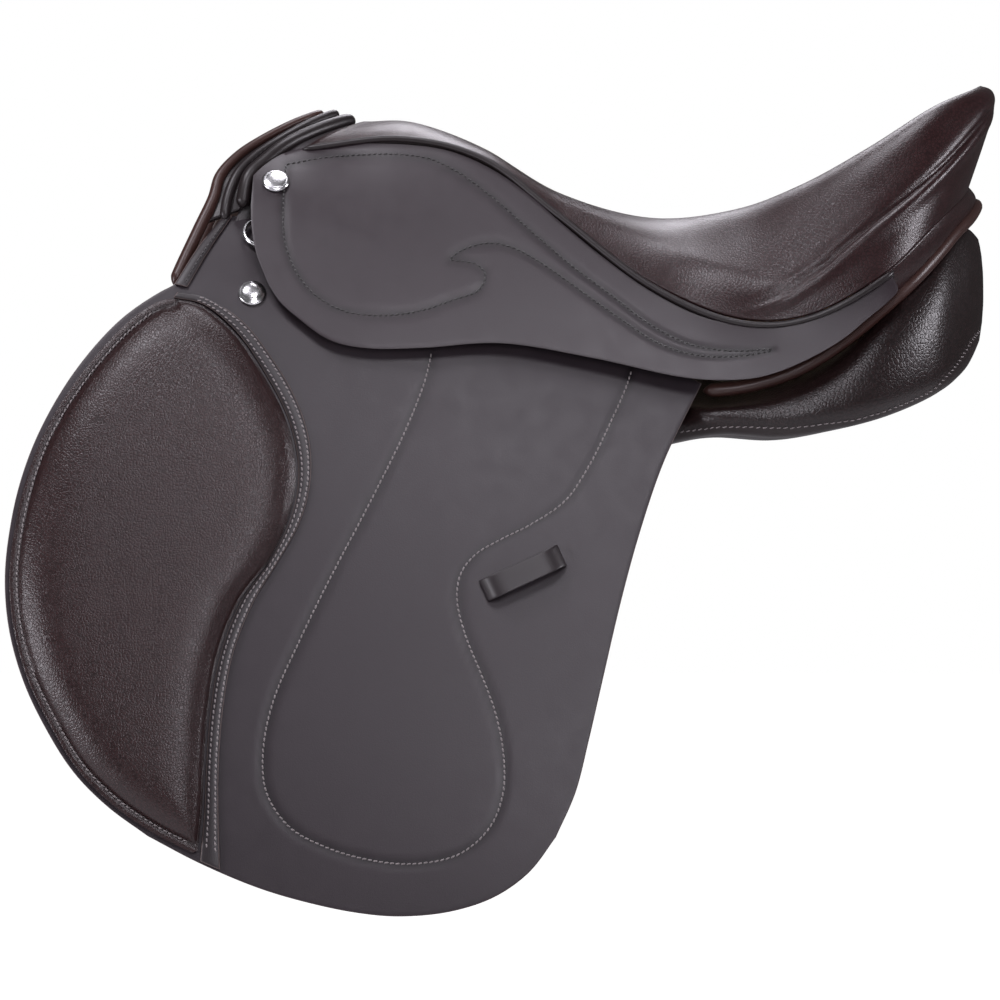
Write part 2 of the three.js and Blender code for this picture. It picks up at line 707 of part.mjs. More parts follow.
function makeDeeRing() {
  const { centre, forward } = deeFrame();
  const loop = [];
  const radius = 9.5;
  for (let i = 0; i < 10; i += 1) {
    const angle = -Math.PI / 2 + (Math.PI * i) / 9;
    loop.push(centre.clone().addScaledVector(deeAxis, Math.sin(angle) * radius).addScaledVector(forward, 2 + Math.cos(angle) * radius));
  }
  loop.push(centre.clone().addScaledVector(deeAxis, 9));
  loop.push(centre.clone().addScaledVector(deeAxis, 3));
  loop.push(centre.clone().addScaledVector(deeAxis, -3));
  loop.push(centre.clone().addScaledVector(deeAxis, -9));
  const path = new THREE.CatmullRomCurve3(loop, true);
  return new THREE.TubeGeometry(path, 24, 1.5, 6, true);
}

function makeDeeChape() {
  const { centre } = deeFrame();
  const sleeve = new THREE.LatheGeometry([[2.1, -6], [3.3, -6], [3.3, 6], [2.1, 6]].map(([r, h]) => new THREE.Vector2(r, h)).concat(new THREE.Vector2(2.1, -6)), 10);
  const loop = solidFrom(turnTo(sleeve, centre, deeAxis));
  const points = [[-181.5, 96], [-162, 95], [-162, 107], [-181.5, 108]].map(([x, z]) => new THREE.Vector2(x, z));
  return loop.add(draped(points, flapFace, 5.4, 2.4));
}

// ---------- assembly ----------

const saddle = new THREE.Group();
saddle.name = 'english_saddle';

function addMesh(name, shape, look, mirrored = false) {
  const geometry = shape.isBufferGeometry ? shape : geometryFrom(shape);
  const mesh = new THREE.Mesh(geometry, new THREE.MeshStandardMaterial(material[look]));
  mesh.name = name;
  if (mirrored) mesh.scale.y = -1;
  saddle.add(mesh);
}

function addPair(name, shape, look) {
  addMesh(`${name}_near`, shape, look);
  addMesh(`${name}_off`, shape, look, true);
}

addMesh('tree_head', archBand(-160, 26, -4, 4), 'wood');
addMesh('head_plate', archBand(-158, 22, 4.5, 7), 'steel');
addMesh('gullet_plate', archBand(-158, 22, -7, -4.5), 'steel');
addMesh('tree_cantle', makeTreeCantle(), 'wood');
addPair('tree_rail', makeRail(), 'wood');
addPair('tree_spring', makeTreeSpring(), 'steel');
addPair('seat_web', makeSeatWeb(), 'web');
addMesh('straining_web', makeStrainingWeb(), 'web');
const girthWebFront = [[93, 9], [88, 34], [79, 62], [68, 82], [63, 92], [60, 104], [53, 113], [38, 117], [0, 122]];
const girthWebRear = [[92, 9], [88, 30], [83, 56], [76, 76], [67, 89], [40, 93], [0, 94]];
addMesh('girth_web_front', bandAcross(-58, 46, girthWebFront, 1.8), 'web');
addMesh('girth_web_rear', bandAcross(0, 28, girthWebRear, 1.8), 'web');
addMesh('seat_foam', makeSeatFoam(), 'foam');
addMesh('seat_cover', makeSeatCover(), 'grained');
addMesh('seat_welt', makeSeatWelt(), 'grained');
addMesh('cantle_piping', cord(acrossSaddle(cantlePipingLine), 4.7, 40, 2), 'piping');
addMesh('pommel_piping', cord(acrossSaddle(pipingArch), 3, 32, 2), 'piping');
addMesh('pommel_binding', makePommelBinding(), 'smooth');
addMesh('pommel_roll', cord(acrossSaddle(rollArch), 4.4, 28, 2), 'smooth');
addPair('panel', makePanel(), 'grained');

const sweatFlap = makeSweatFlap();
addPair('sweat_flap_upper', sweatFlap.upper, 'underside');
addPair('sweat_flap', sweatFlap.lower, 'underside');
for (const billet of billets) addPair(billet.name, makeBillet(billet), 'strap');

const flap = makeFlap();
addPair('flap_upper', flap.upper, 'smooth');
addPair('flap', flap.lower, 'smooth');
addPair('knee_pad', makeKneePad(), 'grained');
addPair('knee_border', makeKneeBorder(), 'smooth');
addPair('keeper_loop', makeKeeperLoop(), 'smooth');
addPair('flap_nail', makeNail(flapFace, -190, 66, flapNailProfile, 0.6), 'polished');

addPair('stirrup_bar', makeStirrupBar(), 'steel');
addPair('bar_catch', makeBarCatch(), 'steel');
addPair('dee_chape', makeDeeChape(), 'strap');
addPair('dee_ring', makeDeeRing(), 'polished');

const skirt = makeSkirt();
addPair('skirt_upper', skirt.upper, 'smooth');
addPair('skirt', skirt.lower, 'smooth');
addPair('head_nail', makeNail(skirtFace, -176, 136, headNailProfile, 1), 'polished');

export default saddle;
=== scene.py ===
"""English saddle: visible leather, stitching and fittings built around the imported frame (metres)."""

import math

import bpy
import numpy as np
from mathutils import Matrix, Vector, kdtree


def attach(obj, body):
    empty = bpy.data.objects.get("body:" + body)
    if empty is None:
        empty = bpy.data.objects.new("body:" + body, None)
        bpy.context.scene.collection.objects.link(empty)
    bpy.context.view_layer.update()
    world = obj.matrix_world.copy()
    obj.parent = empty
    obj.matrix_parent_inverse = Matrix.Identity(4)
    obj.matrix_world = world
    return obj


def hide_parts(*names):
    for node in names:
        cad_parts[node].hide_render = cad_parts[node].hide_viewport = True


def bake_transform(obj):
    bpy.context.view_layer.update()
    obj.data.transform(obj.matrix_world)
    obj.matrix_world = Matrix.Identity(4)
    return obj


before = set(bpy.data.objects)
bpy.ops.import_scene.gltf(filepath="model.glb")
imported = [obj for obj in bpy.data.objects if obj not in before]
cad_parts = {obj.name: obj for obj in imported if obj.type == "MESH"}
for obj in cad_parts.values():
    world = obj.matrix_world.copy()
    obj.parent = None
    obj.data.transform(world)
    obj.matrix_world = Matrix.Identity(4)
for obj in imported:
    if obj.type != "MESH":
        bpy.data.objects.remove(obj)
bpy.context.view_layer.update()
MM = 0.001

# ---------- camera, lights and stage ----------

CAMERA_AIM = Vector((-0.0369, -0.12, -0.0615))
CAMERA_DISTANCE = 6.0
VIEW_WIDTH = 0.615
SENSOR = 36.0


def make_camera():
    data = bpy.data.cameras.new("camera")
    data.sensor_width = SENSOR
    data.lens = SENSOR * CAMERA_DISTANCE / VIEW_WIDTH
    data.clip_end = 200
    camera = bpy.data.objects.new("camera", data)
    camera.location = CAMERA_AIM - Vector((0, CAMERA_DISTANCE, 0))
    camera.rotation_euler = (math.pi / 2, 0, 0)
    bpy.context.scene.collection.objects.link(camera)
    bpy.context.scene.camera = camera


LIGHT_TINT = (0.96, 0.93, 1.0)


def make_light(name, place, size, watts, target=(0, 0, -0.02)):
    """Square soft box aimed at the target."""
    data = bpy.data.lights.new(name, "AREA")
    data.shape = "SQUARE"
    data.size = size
    data.energy = watts
    data.color = LIGHT_TINT
    light = bpy.data.objects.new(name, data)
    light.location = place
    direction = Vector(target) - Vector(place)
    light.rotation_euler = direction.to_track_quat("-Z", "Y").to_euler()
    bpy.context.scene.collection.objects.link(light)


def seen_directly(tree):
    """One where the stage is seen directly, zero where it lights the saddle."""
    return tree.nodes.new("ShaderNodeLightPath").outputs["Is Camera Ray"]


def scaled(tree, value, low, high):
    node = tree.nodes.new("ShaderNodeMapRange")
    tree.links.new(value, node.inputs["Value"])
    node.inputs["To Min"].default_value = low
    node.inputs["To Max"].default_value = high
    return node.outputs["Result"]


def make_stage():
    """Round pale floor, seen from above only."""
    floor_z, radius, steps = -0.42, 14.0, 64
    angle = np.linspace(0, 2 * math.pi, steps, endpoint=False)
    mesh = bpy.data.meshes.new("floor")
    rim = [(radius * math.cos(a), radius * math.sin(a), floor_z) for a in angle]
    mesh.from_pydata(rim, [], [range(steps)])
    material = bpy.data.materials.new("floor")
    material.use_nodes = True
    tree = material.node_tree
    shader = tree.nodes["Principled BSDF"]
    shader.inputs["Base Color"].default_value = (0.8, 0.8, 0.8, 1)
    shader.inputs["Roughness"].default_value = 1.0
    shader.inputs["Specular IOR Level"].default_value = 0.0
    shader.inputs["Emission Color"].default_value = (1, 1, 1, 1)
    tree.links.new(scaled(tree, seen_directly(tree), 0.0, 1.0), shader.inputs["Emission Strength"])
    clear = tree.nodes.new("ShaderNodeBsdfTransparent")
    mix = tree.nodes.new("ShaderNodeMixShader")
    under = tree.nodes.new("ShaderNodeNewGeometry").outputs["Backfacing"]
    for value, socket in ((under, 0), (shader.outputs[0], 1), (clear.outputs[0], 2)):
        tree.links.new(value, mix.inputs[socket])
    tree.links.new(mix.outputs[0], tree.nodes["Material Output"].inputs["Surface"])
    mesh.materials.append(material)
    floor = bpy.data.objects.new("floor", mesh)
    bpy.context.scene.collection.objects.link(floor)


def make_studio():
    bpy.context.scene.view_settings.view_transform = "Standard"
    world = bpy.data.worlds.new("studio")
    world.use_nodes = True
    background = world.node_tree.nodes["Background"]
    background.inputs["Color"].default_value = (1, 1, 1, 1)
    strength = scaled(world.node_tree, seen_directly(world.node_tree), 0.07, 1.0)
    world.node_tree.links.new(strength, background.inputs["Strength"])
    bpy.context.scene.world = world
    make_light("key", (-0.02, -1.05, 0.8), 0.3, 4.5, (0.0, -0.1, -0.05))
    make_light("low", (0.05, -1.25, 0.2), 0.3, 4.1, (0.0, -0.1, -0.2))
    make_light("top", (0.0, 0.1, 1.25), 0.45, 6, (0.05, 0, 0.1))
    make_light("left", (-0.62, -0.5, 1.0), 0.3, 7, (-0.24, -0.1, -0.05))
    make_light("side", (-1.3, -0.62, 0.0), 0.35, 8, (-0.3, -0.12, -0.12))
    make_light("rear", (1.2, -0.25, 0.42), 0.3, 8, (0.24, -0.08, 0.03))
    make_light("back", (0.0, 1.0, 1.0), 0.5, 5, (0.0, 0.1, -0.05))
    make_stage()


# ---------- materials ----------


class Nodes:
    """Small helper that adds nodes to a material and links their sockets."""

    def __init__(self, name):
        self.material = bpy.data.materials.new(name)
        self.material.use_nodes = True
        self.tree = self.material.node_tree
        self.shader = self.tree.nodes["Principled BSDF"]
        self.coords = self.tree.nodes.new("ShaderNodeTexCoord").outputs["Object"]

    def add(self, kind, inputs=None, **settings):
        node = self.tree.nodes.new(kind)
        for key, value in settings.items():
            setattr(node, key, value)
        for key, value in (inputs or {}).items():
            if isinstance(value, bpy.types.NodeSocket):
                self.tree.links.new(value, node.inputs[key])
            else:
                node.inputs[key].default_value = value
        return node

    def noise(self, scale, detail=3.0, roughness=0.5, vector=None):
        inputs = {"Vector": vector or self.coords, "Scale": scale, "Detail": detail, "Roughness": roughness}
        return self.add("ShaderNodeTexNoise", inputs).outputs["Fac"]

    def stretched(self, x, y, z):
        return self.add("ShaderNodeMapping", {"Vector": self.coords, "Scale": (x, y, z)}).outputs["Vector"]

    def math(self, operation, a, b=0.0):
        node = self.add("ShaderNodeMath", {0: a, 1: b}, operation=operation)
        return node.outputs[0]

    def span(self, value, low, high, start=0.3, end=0.7):
        inputs = {"Value": value, "From Min": start, "From Max": end, "To Min": low, "To Max": high}
        return self.add("ShaderNodeMapRange", inputs).outputs["Result"]

    def mix(self, factor, a, b, blend="MIX"):
        node = self.add("ShaderNodeMix", data_type="RGBA", blend_type=blend)
        for socket, value in zip((node.inputs[0], node.inputs[6], node.inputs[7]), (factor, a, b)):
            if isinstance(value, bpy.types.NodeSocket):
                self.tree.links.new(value, socket)
            else:
                socket.default_value = value
        return node.outputs[2]

    def bump(self, height, distance, strength=1.0, normal=None):
        inputs = {"Height": height, "Distance": distance, "Strength": strength}
        if normal is not None:
            inputs["Normal"] = normal
        return self.add("ShaderNodeBump", inputs).outputs["Normal"]

    def link(self, value, socket):
        self.tree.links.new(value, self.shader.inputs[socket])


def rgba(colour):
    return (*colour, 1.0)


def shade(colour, amount):
    return tuple(min(1.0, c * amount) for c in colour)


def leather(name, colour, rough=0.45, grain=0.0, grain_size=1.4 * MM, pores=0.35, variation=0.09, crease=0.0):
    """Leather with mottled colour, painted shade along stitched seams, pores, an optional pebbled grain and
    creases.
    """
    n = Nodes(name)
    cloud = n.noise(14.0, 4.0)
    patch = n.noise(90.0, 3.0)
    tone = n.span(n.math("ADD", n.math("MULTIPLY", cloud, 0.65), n.math("MULTIPLY", patch, 0.35)), 0.0, 1.0)
    base = n.mix(tone, rgba(shade(colour, 1 - variation)), rgba(shade(colour, 1 + variation)))
    # Painted shade: the seam attribute darkens the colour to 0.3 of itself in the grooves along the
    # stitching.
    seam = n.add("ShaderNodeAttribute", attribute_name="seam").outputs["Fac"]
    base = n.mix(seam, base, rgba(shade(colour, 0.3)))
    fine = n.noise(1100.0, 3.0, 0.7)
    normal = n.bump(fine, 0.00016, pores)
    if grain:
        warp = n.add(
            "ShaderNodeTexNoise", {"Vector": n.coords, "Scale": 260.0, "Detail": 2.0}
        ).outputs["Color"]
        shifted = n.add("ShaderNodeVectorMath", {0: warp, 1: (0.0016,) * 3}, operation="MULTIPLY").outputs[0]
        place = n.add("ShaderNodeVectorMath", {0: n.coords, 1: shifted}, operation="ADD").outputs[0]
        cells = n.add(
            "ShaderNodeTexVoronoi", {"Vector": place, "Scale": 1 / grain_size}, feature="DISTANCE_TO_EDGE"
        ).outputs["Distance"]
        pebble = n.span(cells, 0.0, 1.0, 0.0, 0.22)
        normal = n.bump(pebble, 0.00022, grain, normal)
        base = n.mix(n.math("SUBTRACT", 1.0, pebble), base, rgba(shade(colour, 0.4)))
    if crease:
        stretched = n.stretched(22.0, 22.0, 110.0)
        lines = n.noise(1.0, 5.0, 0.65, stretched)
        normal = n.bump(lines, 0.0011, crease, normal)
    n.link(base, "Base Color")
    n.link(n.span(patch, rough - 0.02, rough + 0.03), "Roughness")
    n.link(normal, "Normal")
    n.shader.inputs["Specular IOR Level"].default_value = 0.42
    return n.material


def cut_edge_and_highlight(name, colour):
    """Burnished edge of cut leather, lighter than the faces, also a painted highlight on the rounded edges:
    layered streaks along the sheet.
    """
    n = Nodes(name)
    layers = n.noise(420.0, 4.0, 0.7)
    n.link(n.mix(n.span(layers, 0.0, 1.0), rgba(shade(colour, 0.7)), rgba(shade(colour, 1.25))), "Base Color")
    n.link(n.span(layers, 0.5, 0.75), "Roughness")
    n.link(n.bump(layers, 0.0002, 0.5), "Normal")
    return n.material


def thread(name, colour):
    n = Nodes(name)
    twist_and_glints = n.add(
        "ShaderNodeTexWave", {"Vector": n.coords, "Scale": 900.0, "Distortion": 1.5, "Detail": 1.0},
        bands_direction="DIAGONAL",
    ).outputs["Fac"]
    # Painted highlight and shade: the colour runs from a dark shade to light glints along the twist.
    n.link(n.mix(twist_and_glints, rgba(shade(colour, 0.25)), rgba(shade(colour, 1.7))), "Base Color")
    n.link(n.bump(twist_and_glints, 0.0001, 0.6), "Normal")
    n.shader.inputs["Roughness"].default_value = 0.5
    n.shader.inputs["Sheen Weight"].default_value = 0.3
    return n.material


def steel(name, colour, rough, brushed=0.0):
    n = Nodes(name)
    stretched = n.stretched(60.0, 900.0, 900.0)
    lines = n.noise(1.0, 3.0, 0.6, stretched)
    smudge = n.noise(120.0, 3.0)
    n.link(n.mix(n.span(smudge, 0.0, 1.0), rgba(shade(colour, 0.9)), rgba(colour)), "Base Color")
    n.link(n.span(smudge, rough, rough + 0.1), "Roughness")
    n.link(n.bump(lines, 0.00005, brushed), "Normal")
    n.shader.inputs["Metallic"].default_value = 1.0
    return n.material


def wood(name):
    n = Nodes(name)
    stretched = n.stretched(30.0, 160.0, 260.0)
    grain = n.noise(1.0, 6.0, 0.6, stretched)
    n.link(n.mix(n.span(grain, 0.0, 1.0), (0.33, 0.19, 0.09, 1), (0.62, 0.42, 0.24, 1)), "Base Color")
    n.link(n.span(grain, 0.3, 0.5), "Roughness")
    n.link(n.bump(grain, 0.0004, 0.4), "Normal")
    return n.material


def woven(name, colour, pitch):
    """Plain weave: two crossed waves."""
    n = Nodes(name)
    scale = 1 / pitch / 6.28
    place = {"Vector": n.coords, "Scale": scale}
    warp = n.add("ShaderNodeTexWave", place, bands_direction="X").outputs["Fac"]
    weft = n.add("ShaderNodeTexWave", place, bands_direction="Y").outputs["Fac"]
    weave = n.math("MAXIMUM", warp, weft)
    fluff = n.noise(700.0, 3.0)
    n.link(n.mix(weave, rgba(shade(colour, 0.6)), rgba(colour)), "Base Color")
    n.link(n.bump(n.math("ADD", weave, fluff), 0.0004, 0.5), "Normal")
    n.shader.inputs["Roughness"].default_value = 0.9
    n.shader.inputs["Sheen Weight"].default_value = 0.3
    return n.material


def foam(name):
    n = Nodes(name)
    cells = n.add("ShaderNodeTexVoronoi", {"Vector": n.coords, "Scale": 900.0}).outputs["Distance"]
    tone = n.noise(40.0, 3.0)
    n.link(n.mix(tone, (0.62, 0.53, 0.36, 1), (0.78, 0.71, 0.55, 1)), "Base Color")
    n.link(n.bump(cells, 0.0006, 0.5), "Normal")
    n.shader.inputs["Roughness"].default_value = 0.95
    return n.material


MATERIALS = {
    "skirt": leather("skirt_leather", (0.022, 0.0155, 0.019), rough=0.39),
    "flap": leather("flap_leather", (0.020, 0.0145, 0.018), rough=0.42),
    "lining": leather("lining_leather", (0.050, 0.033, 0.027), rough=0.6, pores=0.6),
    "seat": leather("seat_leather", (0.025, 0.0090, 0.0095), rough=0.33, grain=0.26, grain_size=2.0 * MM),
    "pad": leather(
        "pad_leather", (0.023, 0.0088, 0.0090), rough=0.34, grain=0.38, grain_size=1.8 * MM, crease=0.05
    ),
    # Panel leather: its own dark brown, made darker still as painted shade for the panels' shaded sides.
    "panel": leather(
        "panel_leather", (0.013, 0.0058, 0.0058), rough=0.35, grain=0.4, grain_size=2.6 * MM, crease=0.1
    ),
    "band": leather("band_leather", (0.014, 0.0085, 0.0085), rough=0.42),
    "trim": leather("trim_leather", (0.017, 0.013, 0.0145), rough=0.42),
    "roll": leather("roll_leather", (0.012, 0.0085, 0.009), rough=0.38),
    "piping": leather("piping_leather", (0.037, 0.0160, 0.0130), rough=0.38),
    "strap": leather("strap_leather", (0.030, 0.019, 0.017), rough=0.42),
    "edge": cut_edge_and_highlight("cut_edge_and_highlight", (0.085, 0.062, 0.058)),
    "thread": thread("thread", (0.19, 0.165, 0.165)),
    "dark_thread": thread("dark_thread", (0.007, 0.005, 0.005)),
    "steel": steel("fitting_steel", (0.46, 0.46, 0.48), 0.32, 0.5),
    "polished": steel("polished_steel", (0.74, 0.74, 0.75), 0.2),
    "wood": wood("tree_wood"),
    "web": woven("web_tape", (0.5, 0.42, 0.29), 1.6 * MM),
    "foam": foam("seat_foam"),
}

# ---------- curves and faces ----------


def spline(points, count, closed=False):
    """Centripetal Catmull-Rom curve through the points, resampled to even steps."""
    p = np.asarray(points, float)
    if closed:
        p = np.vstack([p[-1], p, p[0], p[1]])
    else:
        p = np.vstack([2 * p[0] - p[1], p, 2 * p[-1] - p[-2]])
    fine = []
    for a, b, c, d in zip(p[:-3], p[1:-2], p[2:-1], p[3:]):
        k = np.maximum([np.linalg.norm(b - a), np.linalg.norm(c - b), np.linalg.norm(d - c)], 1e-9) ** 0.5
        t0, t1, t2, t3 = 0.0, k[0], k[0] + k[1], k.sum()
        t = np.linspace(t1, t2, 24, endpoint=False)[:, None]
        a1 = (t1 - t) / (t1 - t0) * a + (t - t0) / (t1 - t0) * b
        a2 = (t2 - t) / (t2 - t1) * b + (t - t1) / (t2 - t1) * c
        a3 = (t3 - t) / (t3 - t2) * c + (t - t2) / (t3 - t2) * d
        b1 = (t2 - t) / (t2 - t0) * a1 + (t - t0) / (t2 - t0) * a2
        b2 = (t3 - t) / (t3 - t1) * a2 + (t - t1) / (t3 - t1) * a3
        fine.append((t2 - t) / (t2 - t1) * b1 + (t - t1) / (t2 - t1) * b2)
    fine.append(p[-2][None])
    return evenly(np.vstack(fine), count)


def evenly(points, count):
    steps = np.linalg.norm(np.diff(points, axis=0), axis=1)
    length = np.concatenate([[0], np.cumsum(steps)])
    at = np.linspace(0, length[-1], count + 1)
    return np.stack([np.interp(at, length, points[:, k]) for k in range(points.shape[1])], axis=1)


def runs(parts, count):
    """Several smooth runs joined at corners, as one evenly sampled line."""
    lines = [spline(part, 60) for part in parts]
    return evenly(np.vstack([line[:-1] for line in lines[:-1]] + [lines[-1]]), count)


FLAP_FOLD = {"x": (-252, 84), "y": (98.7, 133.9), "z": (55.4, -11.8)}
SKIRT_FOLD = {"x": (-190.7, 107.6), "y": (79, 141), "z": (119.9, 12.3)}
# Body, fold line, and the x and reach that fold_points takes, in mm.
FLAP_BEND = ("flap", FLAP_FOLD, -84, 9)
SKIRT_BEND = ("skirt", SKIRT_FOLD, -41, 8)

# Seat ribs from pommel to cantle: centre line, roll, ridge and welt, each [x, half width, z] in mm.
SEAT_RIBS = np.array([
    [[-122, 0, 176], [-136, 22, 171], [-148, 36, 165], [-160, 47, 157]],
    [[-90, 0, 175], [-92, 27, 173.5], [-95, 45, 169], [-99, 57, 163]],
    [[-45, 0, 158], [-46, 32, 157], [-46, 55, 155], [-47, 72, 150]],
    [[0, 0, 129], [0, 40, 130], [0, 72, 126], [0, 91, 114]],
    [[55, 0, 112], [56, 48, 114], [56, 88, 101], [55, 114, 71]],
    [[105, 0, 107], [108, 69, 118], [109, 119, 82], [107, 131, 48]],
    [[145, 0, 115], [150, 82, 133], [150, 131, 79], [153, 137, 50]],
    [[190, 0, 133], [192, 79, 157], [196, 118, 112], [200, 129, 75]],
    [[225, 0, 157], [231, 64, 182], [237, 90, 146], [233, 95, 107]],
    [[247, 0, 180], [257, 37, 194], [266, 47, 178], [250, 50, 122]],
    [[259, 0, 193], [265, 0, 198], [273, 0, 186], [255, 0, 130]],
], float)

WELT = spline(np.vstack([[-195, 52, 156], SEAT_RIBS[:8, 3], [215, 119, 90]]), 200)


def fold_at(fold, x):
    t = (x - fold["x"][0]) / (fold["x"][1] - fold["x"][0])
    return [fold[k][0] + t * (fold[k][1] - fold[k][0]) for k in "yz"]


def flap_face(x, z):
    """Half width of the flap's outer face over (x, z), in mm."""
    y0, z0 = fold_at(FLAP_FOLD, x)
    drop = z0 - z
    return y0 + 0.4 * drop - np.where(drop > 0, 0.00038, 0.0035) * drop ** 2


def skirt_face(x, z):
    """Half width of the skirt's outer face: through the welt and the fold line, flaring below."""
    y0, z0 = fold_at(SKIRT_FOLD, x)
    slope = 0.48 - 0.12 * np.clip((x + 120) / 210, 0, 1)
    drop = z0 - z
    welt_y = np.interp(x, WELT[:, 0], WELT[:, 1])
    full = np.interp(x, WELT[:, 0], WELT[:, 2]) - z0
    bend = np.where(drop > 0, 0.0003, (y0 - slope * full - welt_y) / full ** 2)
    return y0 + slope * drop - bend * drop ** 2


def steepness(face, x, z):
    dx = (face(x + 1, z) - face(x - 1, z)) / 2
    dz = (face(x, z + 1) - face(x, z - 1)) / 2
    return dx, dz, np.sqrt(1 + dx ** 2 + dz ** 2)


def lay(points, face, lift=0.0):
    """Side-view points in mm, laid on the near face and lifted off it; returns metres."""
    x, z = points[..., 0], points[..., 1]
    _, _, steep = steepness(face, x, z)
    return np.stack([x, -(face(x, z) + lift * steep), z], axis=-1) * MM


def normals_on(points, face):
    x, z = points[..., 0], points[..., 1]
    dx, dz, steep = steepness(face, x, z)
    return np.stack([-dx, -np.ones_like(dx), -dz], axis=-1) / steep[..., None]


def coons(bottom, top, left, right):
    """Grid between four border lines; bottom and top run left to right, left and right run upwards."""
    nu, nv = len(bottom) - 1, len(left) - 1
    u = np.linspace(0, 1, nu + 1)[None, :, None]
    v = np.linspace(0, 1, nv + 1)[:, None, None]
    across = (1 - v) * bottom[None] + v * top[None]
    along = (1 - u) * left[:, None] + u * right[:, None]
    corners = (
        (1 - u) * (1 - v) * bottom[0] + u * (1 - v) * bottom[-1]
        + (1 - u) * v * top[0] + u * v * top[-1]
    )
    return across + along - corners


# ---------- mesh building ----------


def new_object(name, vertices, faces, material_names, indices=None):
    mesh = bpy.data.meshes.new(name)
    mesh.from_pydata(np.asarray(vertices).tolist(), [], [list(map(int, f)) for f in faces])
    for key in material_names:
        mesh.materials.append(MATERIALS[key])
    if indices is not None:
        mesh.polygons.foreach_set("material_index", np.asarray(indices, np.int32))
    mesh.polygons.foreach_set("use_smooth", np.ones(len(mesh.polygons), bool))
    mesh.update()
    piece = bpy.data.objects.new(name, mesh)
    bpy.context.scene.collection.objects.link(piece)
    return piece


def apply_modifier(piece, kind, **settings):
    modifier = piece.modifiers.new(kind.lower(), kind)
    for key, value in settings.items():
        setattr(modifier, key, value)
    bpy.context.view_layer.update()
    graph = bpy.context.evaluated_depsgraph_get()
    mesh = bpy.data.meshes.new_from_object(piece.evaluated_get(graph))
    piece.modifiers.clear()
    piece.data = mesh


def soften(piece, width=0.9, segments=2):
    """Rounds the sharp edges of a piece; the rounding takes the last look, for most pieces the light edge
    colour, a painted highlight.
    """
    apply_modifier(
        piece, "BEVEL", width=width * MM, segments=segments, limit_method="ANGLE",
        material=len(piece.data.materials) - 1, angle_limit=math.radians(50), harden_normals=False,
    )


def grid_faces(rows, columns, start=0, flip=False):
    i, j = np.meshgrid(np.arange(rows - 1), np.arange(columns - 1), indexing="ij")
    a = (start + i * columns + j).ravel()
    quads = np.stack([a, a + 1, a + columns + 1, a + columns], axis=1)
    return quads[:, ::-1] if flip else quads


def rim_faces(rows, columns, layer):
    """Walls joining the borders of an outer grid to those of the inner grid stored after it."""
    index = np.arange(rows * columns).reshape(rows, columns)
    loop = np.concatenate([index[0, :-1], index[:-1, -1], index[-1, :0:-1], index[:0:-1, 0]])
    after = np.roll(loop, -1)
    return np.stack([after, loop, loop + layer, after + layer], axis=1)


def lined(name, outer, inner, looks, flip=False):
    """Closed piece between two grids of points; its rim has the third look, or else the first."""
    rows, columns = outer.shape[:2]
    size = rows * columns
    top = grid_faces(rows, columns, 0, flip)
    under = grid_faces(rows, columns, size, not flip)
    rim = rim_faces(rows, columns, size)
    rim = rim[:, ::-1] if flip else rim
    indices = [0] * len(top) + [1] * len(under) + [2 if len(looks) == 3 else 0] * len(rim)
    vertices = np.vstack([outer.reshape(-1, 3), inner.reshape(-1, 3)])
    return new_object(name, vertices, np.vstack([top, under, rim]), looks, indices)


def near_distance(points, line):
    """Distance in mm from every point to a densely sampled line."""
    tree = kdtree.KDTree(len(line))
    for i, p in enumerate(line):
        tree.insert((p[0], p[1], 0), i)
    tree.balance()
    flat = points.reshape(-1, 2)
    found = [tree.find((p[0], p[1], 0))[2] for p in flat]
    return np.array(found).reshape(points.shape[:-1])


def mark_seam_shade(piece, values):
    """Stores how close each vertex lies to a stitched line; the leather paints it as shade in the seam's
    groove.
    """
    layer = piece.data.attributes.new("seam", "FLOAT", "POINT")
    padded = np.zeros(len(piece.data.vertices))
    padded[: values.size] = values.ravel()
    layer.data.foreach_set("value", padded)


def sheet(name, grid, face, thickness, looks, lift=0.0, rise=0.0, round_to=0.9, seam=None):
    """Leather sheet over a grid of side-view points; rise adds height on the outer side, seam adds painted
    shade.
    """
    piece = lined(name, lay(grid, face, lift + rise), lay(grid, face, lift - thickness), looks)
    if seam is not None:
        mark_seam_shade(piece, seam)
    soften(piece, round_to)
    return piece


def mirrored(piece, name):
    """Copy of a near-side piece for the off side."""
    mesh = piece.data.copy()
    co = np.zeros(len(mesh.vertices) * 3)
    mesh.vertices.foreach_get("co", co)
    co = co.reshape(-1, 3) * (1, -1, 1)
    mesh.vertices.foreach_set("co", co.ravel())
    mesh.flip_normals()
    mesh.update()
    copy = bpy.data.objects.new(name, mesh)
    bpy.context.scene.collection.objects.link(copy)
    return copy


FOLD_SPREAD = 0.42


def fold_points(fold, x, reach):
    """Two points across a fold line at x: one on the fixed side, one on the moving side."""
    y, z = fold_at(fold, x)
    down = np.array([fold["z"][1] - fold["z"][0], fold["x"][0] - fold["x"][1]], float)
    down /= np.linalg.norm(down)
    step = np.array([down[0], -FOLD_SPREAD * abs(down[1]), down[1]])
    centre = np.array([x, -y, z])
    return (centre - reach * step) * MM, (centre + reach * step) * MM


def pair(piece, base, body=None, fold=None, replaces=()):
    """Finishes a near-side piece and its mirrored off-side copy: attached to its body, or baked in place when
    a fold is given, and replaced nodes hidden.
    """
    for side in ("near", "off"):
        part = piece if side == "near" else mirrored(piece, base + "_off")
        part.name = f"{base}_{side}"
        if fold:
            start, end = fold_points(*fold[1:])
            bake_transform(part)
        else:
            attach(part, "saddle" if body is None else f"{body}_{side}")
        for node in replaces:
            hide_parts(f"{node}_{side}")


